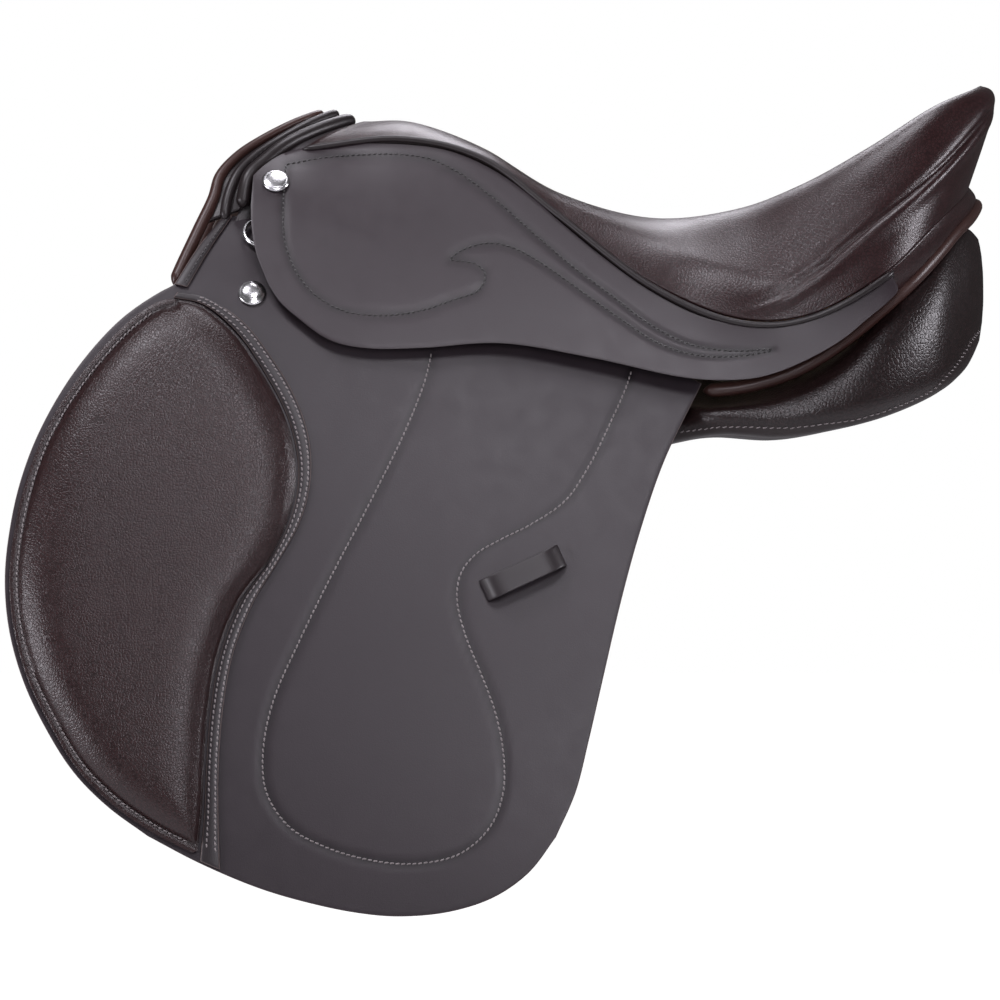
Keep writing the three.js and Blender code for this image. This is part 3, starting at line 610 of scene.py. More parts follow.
def single(piece, replaces=()):
    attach(piece, "saddle")
    for node in replaces:
        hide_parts(node)


def frames_along(path):
    """Two steady cross directions along a path."""
    tangent = np.gradient(path, axis=0)
    tangent /= np.linalg.norm(tangent, axis=1)[:, None]
    side = np.cross(tangent[0], (0.3, 0.2, 1.0))
    sides = []
    for t in tangent:
        side = side - t * side.dot(t)
        side = side / np.linalg.norm(side)
        sides.append(side)
    sides = np.array(sides)
    return sides, np.cross(tangent, sides)


def tube_faces(rings, sides, closed=False):
    """Quads between a run of rings, with flat ends unless the run is closed."""
    faces = []
    for i in range(rings if closed else rings - 1):
        n = (i + 1) % rings
        for j in range(sides):
            k = (j + 1) % sides
            faces.append([i * sides + j, i * sides + k, n * sides + k, n * sides + j])
    if not closed:
        faces.append(list(range(sides))[::-1])
        faces.append(list(range((rings - 1) * sides, rings * sides)))
    return faces


def tube(name, path, radius, look, sides=14):
    """Round cord along a path in metres with rounded ends."""
    side, other = frames_along(path)
    count = len(path)
    cap = np.sin(np.linspace(0.15, math.pi / 2, 5))
    scale = np.ones(count)
    scale[:5] = cap
    scale[-5:] = cap[::-1]
    angle = np.linspace(0, 2 * math.pi, sides, endpoint=False)
    cosine, sine = np.cos(angle)[None, :, None], np.sin(angle)[None, :, None]
    ring = cosine * side[:, None] + sine * other[:, None]
    vertices = (path[:, None] + ring * (radius * scale)[:, None, None]).reshape(-1, 3)
    return new_object(name, vertices, tube_faces(count, sides), [look])


def stitches(name, path, normals, pitch=3.4, length=2.6, radius=0.5, sink=-0.08, slant=0.2, look="thread"):
    """Row of thread stitches along a path in metres, lying on a surface with these normals."""
    steps = np.linalg.norm(np.diff(path, axis=0), axis=1)
    at = np.concatenate([[0], np.cumsum(steps)])
    count = max(1, int(at[-1] / (pitch * MM)))
    where = (np.arange(count) + 0.5) * at[-1] / count
    place = np.stack([np.interp(where, at, path[:, k]) for k in range(3)], axis=1)
    ahead = np.stack([np.interp(where + 0.4 * MM, at, path[:, k]) for k in range(3)], axis=1)
    behind = np.stack([np.interp(where - 0.4 * MM, at, path[:, k]) for k in range(3)], axis=1)
    normal = np.stack([np.interp(where, at, normals[:, k]) for k in range(3)], axis=1)
    tangent = ahead - behind
    tangent -= normal * (tangent * normal).sum(1)[:, None]
    tangent /= np.linalg.norm(tangent, axis=1)[:, None]
    side = np.cross(normal, tangent)
    tangent = tangent + slant * side
    tangent /= np.linalg.norm(tangent, axis=1)[:, None]
    side = np.cross(normal, tangent)
    profile = [(-0.5, 0.3, -0.5), (-0.38, 0.85, -0.05), (0, 1.0, 0.25), (0.38, 0.85, -0.05), (0.5, 0.3, -0.5)]
    angle = np.linspace(0, 2 * math.pi, 6, endpoint=False)
    local = np.array([
        (s * length, math.cos(a) * r * radius, math.sin(a) * r * radius + h * radius)
        for s, r, h in profile for a in angle
    ]) * MM
    local[:, 2] -= sink * MM
    vertices = (
        place[:, None] + local[None, :, :1] * tangent[:, None]
        + local[None, :, 1:2] * side[:, None] + local[None, :, 2:] * normal[:, None]
    )
    one = []
    for i in range(len(profile) - 1):
        for j in range(6):
            k = (j + 1) % 6
            one.append([i * 6 + j, i * 6 + k, (i + 1) * 6 + k, (i + 1) * 6 + j])
    one += [[5, 4, 3, 2, 1, 0], [24, 25, 26, 27, 28, 29]]
    faces = [[v + n * len(local) for v in face] for n in range(count) for face in one]
    return new_object(name, vertices.reshape(-1, 3), faces, [look])


def sewn(name, line, face, lift, **options):
    """Stitches along a side-view line in mm on a face."""
    return stitches(name, lay(line, face, lift), normals_on(line, face), **options)


def lathe(name, profile, place, direction, look, sides=40):
    """Turned piece: profile of (radius, height) in mm about a direction."""
    axis = Vector(direction).normalized()
    turn = np.array(Vector((0, 0, 1)).rotation_difference(axis).to_matrix())
    angle = np.linspace(0, 2 * math.pi, sides, endpoint=False)
    rings = [[(r * math.cos(a), r * math.sin(a), h) for a in angle] for r, h in profile]
    vertices = np.array(rings).reshape(-1, 3) * MM @ turn.T + place
    return new_object(name, vertices, tube_faces(len(profile), sides), [look])


def bell(distance, width):
    return np.exp(-((distance / width) ** 2))


def smoothstep(value, low, high):
    t = np.clip((value - low) / (high - low), 0, 1)
    return t * t * (3 - 2 * t)


# ---------- flap, knee pad and border ----------

FLAP_SEAM = [
    (-79, 29), (-83, 12), (-95, -19), (-116, -62), (-141, -110), (-159, -147), (-175, -184), (-181, -214),
    (-179, -239), (-165, -260), (-141, -273), (-110, -281), (-86, -282), (-61, -276), (-43, -260),
    (-35, -239), (-35, -214), (-40, -190), (-49, -166), (-58, -144), (-63, -123),
    (-61, -107), (-52, -95), (-37, -86),
    (-19, -77), (3, -62), (18, -40), (30, -16), (40, 6), (44, 18),
]
PAD_FRONT = [
    (-240, 63), (-249, 60.5), (-267, 47.5), (-294, 17), (-315.5, -17.5), (-327.5, -49), (-334.3, -80),
    (-337, -110), (-334, -140), (-325, -171), (-312, -197), (-294.5, -225),
    (-273.5, -246), (-249, -263), (-221, -277),
]
PAD_BACK = [
    (-240, 63), (-222, 59), (-202, 43), (-184, 18), (-168, -13), (-162, -43), (-165, -68), (-178, -98),
    (-196, -123), (-208, -153), (-214, -184), (-217, -221), (-218, -250), (-221, -277),
]
BORDER_BACK = [
    (-236, 67), (-220, 64), (-196, 49), (-178, 27), (-162, 0), (-154, -25), (-153, -49), (-159, -74),
    (-172, -98), (-187, -123), (-199, -153), (-205, -184), (-208, -221), (-208, -257), (-207, -286),
]


def make_flap():
    top = runs([
        [(-209, 115), (-195, 115)],
        [(-195, 115), (-160, 113), (-115, 109), (-60, 80), (-20, 60), (40, 38), (87, 10)],
    ], 110)
    left = runs([
        [(-251, -266), (-276, -248), (-297, -227), (-315, -199), (-328, -172), (-337, -141), (-340, -110),
         (-337.5, -80), (-331, -49), (-319, -17), (-298, 19), (-271, 50), (-247, 67), (-239, 71)],
        [(-239, 71), (-209, 115)],
    ], 130)
    right = runs([
        [(-3, -266), (9, -239), (17, -208), (24, -178), (37, -123), (49, -80), (64, -37), (87, 10)],
    ], 130)
    bottom = runs([[(-251, -266), (-220, -282), (-184, -297), (-153, -306), (-123, -312), (-98, -314),
                    (-67, -311), (-40, -302), (-19, -287), (-3, -266)]], 110)
    grid = coons(bottom, top, left, right)
    seam = spline(FLAP_SEAM, 600)
    closeness = bell(near_distance(grid, seam), 2.2)
    looks = ("flap", "lining", "edge")
    # The groove along the stitching is sunk, and also darkened as painted shade.
    piece = sheet("flap", grid, flap_face, 4.0, looks, rise=-0.6 * closeness, seam=closeness)
    pair(piece, "flap_leather", fold=FLAP_BEND, replaces=("flap_upper", "flap"))
    pair(sewn("seam", seam, flap_face, -0.4), "flap_stitching", fold=FLAP_BEND)


PAD_MARGIN = 4.4


def pad_height(distance):
    """Knee pad: a thin sewn margin, a pinched seam and a full middle, in mm above the flap."""
    margin = 3.0 + 0.4 * smoothstep(distance, 0, 2)
    crown = 9.5 * (1 - np.exp(-np.clip(distance - 5.4, 0, None) / 6.5))
    for _ in range(40):
        inside = (crown[:-2, 1:-1] + crown[2:, 1:-1] + crown[1:-1, :-2] + crown[1:-1, 2:]) / 4
        crown[1:-1, 1:-1] = np.where(distance[1:-1, 1:-1] > 8, inside, crown[1:-1, 1:-1])
    seam = -1.1 * bell(distance - 5.2, 1.6)
    return margin + crown + seam


def make_knee_pad():
    front = spline(PAD_FRONT, 150)
    back = spline(PAD_BACK, 150)
    across = np.linspace(0, 1, 90)[None, :, None]
    grid = front[:, None] * (1 - across) + back[:, None] * across
    grid = grid[1:-1][::-1]
    to_front = near_distance(grid, spline(PAD_FRONT, 500))
    to_back = near_distance(grid, spline(PAD_BACK, 500)) + PAD_MARGIN
    distance = np.minimum(to_front, to_back)
    rise = pad_height(distance)
    # Painted shade along the pad's pinched, stitched seam.
    seam = 0.8 * bell(distance - PAD_MARGIN, 1.3)
    looks = ("pad", "lining", "edge")
    piece = sheet("pad", grid, flap_face, 0.0, looks, lift=0.4, rise=rise, round_to=0.7, seam=seam)
    pair(piece, "knee_pad_leather", fold=FLAP_BEND, replaces=("knee_pad",))
    inset = inset_line(spline(PAD_FRONT, 400), 4.6)
    row = sewn("pad_row", inset[14:-8], flap_face, 3.1)
    pair(row, "knee_pad_stitching", fold=FLAP_BEND)


def inset_line(line, distance):
    """The line moved sideways: to its left for a positive distance."""
    step = np.gradient(line, axis=0)
    step /= np.linalg.norm(step, axis=1)[:, None]
    return line + distance * np.stack([-step[:, 1], step[:, 0]], axis=1)


def make_knee_border():
    inner = spline([(x + 1.5, z + 0.4) for x, z in PAD_BACK[:-1]] + [(-219, -281)], 170)
    outer = spline(BORDER_BACK, 170)
    across = np.linspace(0, 1, 9)[None, :, None]
    grid = (inner[:, None] * (1 - across) + outer[:, None] * across)[::-1]
    edge = np.abs(np.linspace(-1, 1, 9))[None, :]
    rise = 2.2 + 0.7 * (1 - edge ** 2) * np.ones((len(grid), 1))
    looks = ("trim", "lining", "edge")
    piece = sheet("border", grid, flap_face, 0.0, looks, lift=0.3, rise=rise, round_to=0.6)
    pair(piece, "knee_border_leather", fold=FLAP_BEND, replaces=("knee_border",))
    for number, share in enumerate((0.28, 0.78)):
        row = sewn("row", (inner * (1 - share) + outer * share)[6:-4], flap_face, 2.9)
        pair(row, f"knee_border_stitching_{number}", fold=FLAP_BEND)


def make_front_strip():
    """Folded strip along the front edge of the upper flap."""
    outer = spline([(-208.5, 115), (-224, 95), (-238, 72)], 40)
    inner = spline([(-203, 115), (-217, 93), (-230, 70)], 40)
    across = np.linspace(0, 1, 7)[None, :, None]
    grid = (outer[:, None] * (1 - across) + inner[:, None] * across)[::-1]
    edge = np.abs(np.linspace(-1, 1, 7))[None, :]
    rise = 1.5 + 0.8 * (1 - edge ** 2) * np.ones((len(grid), 1))
    looks = ("trim", "lining", "edge")
    piece = sheet("strip", grid, flap_face, 0.0, looks, lift=0.2, rise=rise, round_to=0.5)
    pair(piece, "flap_front_strip")
    line = (outer * 0.35 + inner * 0.65)[2:-2]
    row = sewn("row", line, flap_face, 2.3, pitch=3.2, length=2.3, look="dark_thread")
    pair(row, "flap_front_stitching")


def make_keeper_loop():
    start, end = np.array([-47.0, -117.0]), np.array([1.0, -95.0])
    t = np.linspace(0, 1, 41)
    along = (end - start) / np.linalg.norm(end - start)
    square = np.array([-along[1], along[0]])
    widths = np.linspace(-7, 7, 9)
    grid = start + t[:, None, None] * (end - start) + widths[None, :, None] * square
    clearance, arch, thickness = 0.5, 7.5, 2.4
    lift = clearance + arch * (1 - (2 * t - 1) ** 6)
    outer = lay(grid, flap_face, (lift + thickness)[:, None])
    inner = lay(grid, flap_face, lift[:, None])
    piece = lined("loop", outer, inner, ("trim", "lining", "trim"), flip=True)
    soften(piece, 1.0)
    pair(piece, "keeper_loop_leather", body="flap", replaces=("keeper_loop",))


# ---------- skirt ----------

SKIRT_SEAMS = [
    [(-170, 147), (-148, 151), (-123, 153), (-99, 153), (-80, 150), (-62, 141), (-43, 127), (-18, 105),
     (6, 84), (31, 65), (56, 46), (80, 34), (105, 30), (130, 31)],
    [(-170, 147), (-171, 124), (-170, 99), (-163, 80), (-151, 65), (-133, 55), (-111, 52), (-86, 55),
     (-68, 61), (-50, 68), (-46, 77), (-50, 83), (-68, 87)],
    [(-68, 87), (-62, 92), (-46, 97), (-31, 95), (-12, 85), (12, 68), (37, 50), (62, 34), (87, 27),
     (111, 27), (130, 30)],
]


def make_skirt():
    top = runs([
        [(-190, 140), (-181, 148.5), (-170, 155), (-152, 159), (-130, 160), (-99, 159.5), (-74, 156.5),
         (-56, 150.5), (-37, 140.5), (-18, 126.5), (0, 110.5), (25, 89.5), (55, 67.5), (86, 51.5),
         (107, 46.5), (129, 46), (153, 50.5), (178, 62), (203, 77)],
    ], 170)
    left = runs([[(-180, 72), (-188, 93), (-191, 114), (-190, 140)]], 34)
    right = runs([[(191, 52), (201, 60), (207.5, 68), (203, 77)]], 34)
    bottom = runs([
        [(-180, 72), (-173, 61), (-163, 52), (-142, 37), (-120, 32), (-86, 32), (-37, 35), (19, 26),
         (74, 14), (99, 12), (123, 14), (148, 23), (173, 37), (191, 52)],
    ], 170)
    grid = coons(bottom, top, left, right)
    distance = np.min([near_distance(grid, spline(seam, 500)) for seam in SKIRT_SEAMS], axis=0)
    closeness = bell(distance, 2.0)
    looks = ("skirt", "lining", "edge")
    # The grooves along the stitching are sunk, and also darkened as painted shade.
    piece = sheet("skirt", grid, skirt_face, 3.6, looks, rise=-0.55 * closeness, seam=closeness)
    pair(piece, "skirt_leather", fold=SKIRT_BEND, replaces=("skirt_upper", "skirt"))
    for number, seam in enumerate(SKIRT_SEAMS):
        row = sewn("row", spline(seam, 300), skirt_face, -0.4, look="dark_thread")
        pair(row, f"skirt_stitching_{number}", fold=SKIRT_BEND)


# ---------- seat ----------


def rib_curves(count):
    """Seat ribs carried smoothly round the cantle, sampled from pommel to the centre of the back."""
    curves = []
    for k in range(4):
        near = SEAT_RIBS[:, k]
        off = near[:-1][::-1] * (1, -1, 1)
        whole = np.vstack([near, off])
        curves.append(catmull_exact(whole, len(near), count))
    return np.stack(curves, axis=1)


def catmull_exact(points, keep, count, across_centre=False):
    """Curve through the points by point number, so that the ribs stay matched."""
    at = np.linspace(0, keep - 1, count)
    result = []
    for value in at:
        i = min(int(value), len(points) - 2)
        t = value - i
        p = [points[max(i - 1, 0)], points[i], points[i + 1], points[min(i + 2, len(points) - 1)]]
        if i == 0:
            p[0] = points[1] * (1, -1, 1) if across_centre else 2 * points[0] - points[1]
        result.append(0.5 * (
            2 * p[1] + (p[2] - p[0]) * t + (2 * p[0] - 5 * p[1] + 4 * p[2] - p[3]) * t ** 2
            + (3 * p[1] - p[0] - 3 * p[2] + p[3]) * t ** 3
        ))
    return np.array(result)


SEAT_ROWS = 120
WELT_END = 206.0
SEAT_COLUMNS = 60
COVER_EDGE = 0.955


def seat_skin(edge, depth=0.0, shaped=True):
    """Near-half seat surface, rows pommel to cantle and columns centre to welt, in mm."""
    ribs = rib_curves(SEAT_ROWS + 1)
    v = np.linspace(0, edge, SEAT_COLUMNS + 1)
    surface = np.array([catmull_exact(rib, 4, 400, True)[np.round(v * 399).astype(int)] for rib in ribs])
    along = np.gradient(surface, axis=0)
    across = np.gradient(surface, axis=1)
    normal = np.cross(along, across)
    normal[:, 0, 1] = 0
    normal[-1, :, 1] = 0
    normal /= np.linalg.norm(normal, axis=2)[..., None] + 1e-12
    if shaped:
        s = np.linspace(0, 1, SEAT_ROWS + 1)[:, None]
        fade = smoothstep(s, 0.49, 0.58) * (1 - smoothstep(s, 0.9, 0.985))
        away = v[None] - np.interp(s, (0.5, 0.55, 0.6, 0.65, 1.0), (0.9, 0.79, 0.7, 0.672, 0.667))
        crease = -2.4 * bell(away, 0.016) * fade
        roll = 2.2 * bell(away - 0.05, 0.04) * fade
        crown = 1.4 * bell(away + 0.06, 0.06) * fade
        surface = surface + normal * (crease + roll + crown)[..., None]
    surface = surface - normal * depth
    surface[:, 0, 1] = 0
    surface[-1, :, 1] = 0
    return surface


def full_seat(half):
    """Both halves of a seat surface, near side first, in metres."""
    near = half[:, ::-1] * (1, -1, 1)
    return np.concatenate([near, half[:, 1:]], axis=1) * MM


def seat_piece(name, outer, inner, looks):
    rows, columns = outer.shape[:2]
    size = rows * columns
    top = grid_faces(rows, columns, flip=True)
    back = grid_faces(rows, columns, size)
    index = np.arange(size).reshape(rows, columns)
    walls = []
    for line, turn in ((index[0], True), (index[:, 0], False), (index[:, -1], True)):
        a, b = line[:-1], line[1:]
        wall = np.stack([a, b, b + size, a + size], axis=1)
        walls.append(wall if turn else wall[:, ::-1])
    faces = np.vstack([top, back, *walls])
    indices = [0] * len(top) + [1] * len(back) + [2] * sum(len(w) for w in walls)
    piece = new_object(name, np.vstack([outer.reshape(-1, 3), inner.reshape(-1, 3)]), faces, looks, indices)
    apply_modifier(piece, "WELD", merge_threshold=0.00002)
    return piece


def make_seat():
    outer, inner = full_seat(seat_skin(COVER_EDGE)), full_seat(seat_skin(COVER_EDGE, 3.2))
    cover = seat_piece("seat_cover_leather", outer, inner, ("seat", "lining", "seat"))
    single(cover, replaces=("seat_cover",))
    foam_top = seat_skin(0.79, 5.0, shaped=False)
    floor_line = np.array([
        [-118, 158], [-88, 157], [-42, 140], [3, 111], [55, 95], [107, 90],
        [150, 98], [199, 117], [238, 143], [252, 159], [257, 166],
    ], float)
    floor_line = catmull_exact(np.insert(floor_line, 1, 0, axis=1), 11, SEAT_ROWS + 1)
    rim = seat_skin(0.79, 11.0, shaped=False)[:, -1]
    v = np.linspace(0, 1, SEAT_COLUMNS + 1)[None, :, None]
    floor = floor_line[:, None] * (1 - v) + rim[:, None] * v
    block = seat_piece("seat_foam_block", full_seat(foam_top), full_seat(floor), ("foam", "foam", "foam"))
    single(block, replaces=("seat_foam",))
    line = catmull_exact(SEAT_RIBS[:, 3], len(SEAT_RIBS), 500)
    line = evenly(line[line[:, 0] < WELT_END], 260) * (1, -1, 1) * MM
    cord = tube("cord", line, 2.1 * MM, "roll", 12)
    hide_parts("seat_welt")
    pair(cord, "seat_welt_cord")
    make_welt_tail(line)


def make_welt_tail(line):
    """Flat tail of the welt, hidden behind the top of the skirt."""
    along = np.gradient(line, axis=0)
    down = np.array([0, 6.0, -14.0]) * MM
    outer = line[:, None] + down * np.linspace(0, 1, 5)[None, :, None]
    normal = np.cross(along, down)
    normal *= np.sign(-normal[:, 1:2]) / np.linalg.norm(normal, axis=1)[:, None]
    tail = lined("tail", outer, outer - normal[:, None] * 1.8 * MM, ("roll", "lining"))
    pair(tail, "seat_welt_tail")


def make_cantle_apron():
    """Seat leather carried from the cover's edge down to the cantle piping."""
    edge = seat_skin(COVER_EDGE)[:, -1]
    edge = edge[edge[:, 0] > 186]
    edge[-1, 1] = 0
    piping = spline(CANTLE_LINE, 300)
    piping = piping[piping[:, 0] > 186]
    count, columns = 60, 13
    share = np.linspace(0, 1, columns)[None, :, None]
    half = evenly(edge, count)[:, None] * (1 - share) + evenly(piping, count)[:, None] * share
    bulge = 2.5 * np.sin(math.pi * np.linspace(0, 1, columns))[None, :]
    away = half * (1, 1, 0) - (150, 0, 0)
    away /= np.linalg.norm(away, axis=2)[..., None]
    half = half + away * (bulge - 0.2)[..., None]
    half[-1, :, 1] = 0
    near = half * (1, -1, 1)
    outer = np.concatenate([near, half[:-1][::-1]])
    back = np.concatenate([away * (1, -1, 1), away[:-1][::-1]])
    inner = outer - back * 2.4
    piece = lined("seat_cantle_apron", outer * MM, inner * MM, ("seat", "lining"), flip=True)
    single(piece)


# ---------- pommel and cantle trim ----------

PIPING_ARCH = [(-239, 79, 72), (-234, 73, 84), (-224, 64, 106), (-215, 55, 126), (-211, 49, 140),
               (-200, 41, 153),
               (-186, 33, 163), (-167, 20, 173.5), (-153, 7, 179.5), (-150, 0, 180.5)]
BINDING_ROLL = [(-208, 64, 112), (-206, 59, 126), (-200, 52, 141), (-190, 44, 152), (-175, 34, 162.5),
                (-157, 19, 173), (-144, 5, 179), (-141, 0, 180)]
SEWN_ROLL = [(-197, 63, 120), (-193, 58, 139), (-182, 50, 150.5), (-170, 41, 160), (-150, 22, 170),
             (-135, 5, 175.5), (-132, 0, 176)]
FACING_FRONT = [(-204, 66, 104), (-197, 60, 124), *SEWN_ROLL[1:]]
SEAT_FRONT = [(-186, 62, 100), (-178, 57, 132), (-165, 51, 149), (-150, 43, 161), (-130, 24, 170),
              (-112, 0, 174.5)]
CANTLE_LINE = [
    (88, 119, 5.5), (112, 121, 8), (140, 122, 16), (161, 121, 27), (182, 118, 42), (204, 110, 61),
    (219, 101, 75), (233, 86, 90), (245, 66, 104), (255, 40, 114), (260, 18, 121), (261, 0, 123),
]


def across(half, count):
    half = np.array(half, float)
    near = half * (1, -1, 1)
    return spline(np.vstack([near, half[:-1][::-1]]), count) * MM


def make_pommel():
    piping = across(PIPING_ARCH, 220)
    roll = across(BINDING_ROLL, 200)
    sewn_roll = across(SEWN_ROLL, 200)
    away = np.abs(np.linspace(-1, 1, len(piping)))
    thick = 2.7 + 1.2 * smoothstep(away, 0.2, 0.75)
    cord = tube("pommel_piping_cord", piping, thick * MM, "piping")
    single(cord, replaces=("pommel_piping",))
    single(tube("pommel_binding_roll", roll, 3.4 * MM, "roll"))
    cord = tube("pommel_sewn_roll", sewn_roll, 4.6 * MM, "roll")
    single(cord, replaces=("pommel_roll",))
    make_binding_sheet(piping, sewn_roll)
    make_pommel_facing()


def make_pommel_facing():
    """Leather closing the pommel between the sewn roll and the front of the seat."""
    count, columns = 120, 9
    share = np.linspace(0, 1, columns)[None, :, None]
    outer = across(FACING_FRONT, count)[:, None] * (1 - share) + across(SEAT_FRONT, count)[:, None] * share
    normal = np.cross(np.gradient(outer, axis=0), np.gradient(outer, axis=1))
    normal /= np.linalg.norm(normal, axis=2)[..., None]
    normal *= np.sign(normal[count // 2, columns // 2, 2])
    outer = outer - normal * 1.5 * MM
    piece = lined("pommel_facing", outer, outer - normal * 2.5 * MM, ("trim", "lining"))
    single(piece)


def make_binding_sheet(piping, sewn_roll):
    """Leather under the rolls, from the piping to the sewn roll."""
    front = piping[30:-30]
    front = evenly(front, 160)
    back = evenly(sewn_roll, 160)
    width = np.linspace(0.04, 0.96, 13)[None, :, None]
    outer = front[:, None] * (1 - width) + back[:, None] * width
    along = np.gradient(outer, axis=0)
    over = np.gradient(outer, axis=1)
    normal = np.cross(along, over)
    normal /= np.linalg.norm(normal, axis=2)[..., None]
    normal *= np.where(normal[..., 2:] < 0, -1, 1)
    outer = outer - normal * 1.0 * MM
    inner = outer - normal * 3.2 * MM
    piece = lined("pommel_binding_sheet", outer, inner, ("roll", "lining"))
    single(piece, replaces=("pommel_binding",))
    share = 0.62
    row_path = (front * (1 - share) + back * share)[4:-4]
    row_normal = normal[4:-4, 8]
    row_path = row_path + row_normal * 0.6 * MM
    row = stitches("pommel_stitching", row_path, row_normal, pitch=4.0, length=3.0, look="dark_thread")
    single(row)


def make_cantle_piping():
    line = across(CANTLE_LINE, 320)
    cord = tube("cantle_piping_cord", line, 4.5 * MM, "piping", 16)
    single(cord, replaces=("cantle_piping",))


# ---------- panels ----------

# Panel sections from pommel to cantle, in mm: x, half width of the inner side, outer side and outer top,
# then z of the inner bottom, outer bottom, outer top and inner top.
PANEL_SECTIONS = np.array([
    [-205, 36, 62, 52, 66, 50, 84, 90],
    [-170, 34, 86, 54, 38, 0, 56, 62],
    [-130, 32, 96, 64, 20, -28, 50, 58],
    [-60, 31, 101, 76, 6, -40, 30, 50],
    [0, 31, 105, 81, 0, -42, 20, 44],
    [45, 31, 107, 87, -1, -34, 8, 40],
    [75, 32, 121, 104, 0, -25, 0, 38],
    [100, 33, 135, 116, 2, -21, -2, 38],
    [135, 34, 141, 126, 7, -23, 4, 42],
    [165, 34, 140, 126, 14, -19, 18, 50],
    [200, 34, 131, 116, 24, -10, 50, 60],
    [232, 32, 108, 84, 36, 4, 84, 86],
    [252, 28, 72, 44, 44, 20, 105, 107],
    [263, 22, 44, 30, 56, 40, 98, 100],
], float)


def panel_ring(section, shrink=0.0):
    x, yi, yo, yt, zib, zob, zot, zit = section
    ring = np.array([
        [yi, zib], [(yi + yo) / 2, (zib + zob) / 2 - 4], [yo - 9, zob], [yo, zob + 9],
        [yo + 0.15 * (yt - yo), zob + 9 + 0.6 * (zot - zob - 9)], [yt, zot],
        [(yt + yi) / 2, (zot + zit) / 2 + 1], [yi + 2, zit],
    ])
    centre = ring.mean(0)
    ring = centre + (ring - centre) * (1 - shrink)
    return np.insert(ring, 0, x, axis=1)


PANEL_ROUND = 72
PANEL_SEAM = [(-215, -5), (-170, 2), (-130, -18), (-60, -28), (0, -30), (75, -20), (99, -17), (142, -18),
              (191, -12), (228, 3), (246, 22), (256, 37), (270, 52)]
BAND_STEPS = 9


def seamed(ring):
    """Ring resampled so that its first steps span the plain band under the sewn seam."""
    fine = spline(ring, 720, closed=True)[:-1]
    seam_z = np.interp(fine[0, 0], [p[0] for p in PANEL_SEAM], [p[1] for p in PANEL_SEAM])
    bottom = int(np.argmin(fine[:, 2]))
    fine = np.roll(fine, -bottom, axis=0)
    seam = int(np.argmax(fine[:360, 2] > seam_z)) or 40
    seam = min(max(seam, 20), 120)
    lower = -40
    band = evenly(np.vstack([fine[lower:], fine[: seam + 1]]), BAND_STEPS)
    rest = evenly(fine[seam:lower + 1], PANEL_ROUND - BAND_STEPS)
    return np.vstack([band, rest[1:-1]])


def make_panel():
    sections = catmull_exact(PANEL_SECTIONS, len(PANEL_SECTIONS), 150)
    rings = []
    ends = [(0.62, 0.0), (0.3, 2.5), (0.1, 5.5)]
    for shrink, step in ends:
        ring = panel_ring(sections[0], shrink)
        ring[:, 0] += step - 6
        rings.append(ring)
    rings += [panel_ring(section) for section in sections[3:-2]]
    for shrink, step in ends[::-1]:
        ring = panel_ring(sections[-1], shrink)
        ring[:, 0] += 1.5 - step * 0.3
        rings.append(ring)
    rings = np.array([seamed(ring) for ring in rings])
    count = len(rings)
    outward = rings - rings.mean(1, keepdims=True)
    outward /= np.linalg.norm(outward, axis=2)[..., None]
    position = np.arange(PANEL_ROUND)[None, :]
    seam_depth = 1.3 * bell(position - BAND_STEPS, 0.7) + 1.1 * bell(position, 0.7)
    rings = rings - outward * seam_depth[..., None]
    vertices = (rings * (1, -1, 1)).reshape(-1, 3) * MM
    faces, indices = [], []
    for i in range(count - 1):
        for j in range(PANEL_ROUND):
            k = (j + 1) % PANEL_ROUND
            a, b = i * PANEL_ROUND, (i + 1) * PANEL_ROUND
            faces.append([a + j, b + j, b + k, a + k])
            indices.append(1 if j < BAND_STEPS else 0)
    faces.append(list(range(PANEL_ROUND)))
    faces.append(list(range((count - 1) * PANEL_ROUND, count * PANEL_ROUND))[::-1])
    indices += [0, 0]
    piece = new_object("panel", vertices, faces, ("panel", "band"), indices)
    pair(piece, "panel_bag", replaces=("panel",))
    line = (rings[:, BAND_STEPS] + outward[:, BAND_STEPS] * 0.5) * (1, -1, 1) * MM
    normals = outward[:, BAND_STEPS] * (1, -1, 1)
    row = stitches("row", line[4:-3], normals[4:-3], pitch=4.2, length=2.8, radius=0.4, sink=0.1)
    pair(row, "panel_stitching")


# ---------- sweat flap, billets and fittings ----------


def make_sweat_flap():
    top = runs([[(-150, 6), (45, 6)]], 60)
    bottom = runs([[(-148, -165), (-125, -193), (-100, -208), (-45, -205), (-20, -185), (0, -160)]], 60)
    left = runs([[(-148, -165), (-163, -100), (-157, -40), (-150, 6)]], 60)
    right = runs([[(0, -160), (28, -100), (42, -40), (45, 6)]], 60)
    grid = coons(bottom, top, left, right)
    thickness, lift, reach = 3.0, -22.5, 7
    piece = sheet("sweat", grid, flap_face, thickness, ("lining", "lining", "edge"), lift=lift)
    for side, sign in (("near", -1), ("off", 1)):
        part = piece if side == "near" else mirrored(piece, "sweat_flap_leather_off")
        part.name = f"sweat_flap_leather_{side}"
        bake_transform(part)
        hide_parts(f"sweat_flap_upper_{side}")
        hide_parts(f"sweat_flap_{side}")


BILLETS = (("billet_front", -82, 7.5), ("billet_middle", -45, 12.4), ("billet_rear", -8, 17.3))
BILLET_HOLES = 9


BILLET_HALF = 12.5
BILLET_TOP = 20.0
BILLET_TIP = -225.0
BILLET_THICK = 3.5
HOLE_RADIUS = 2.4
HOLE_SPACING = 20.0
LOWEST_HOLE = -200.0
HOLE_PATCH = 6.0


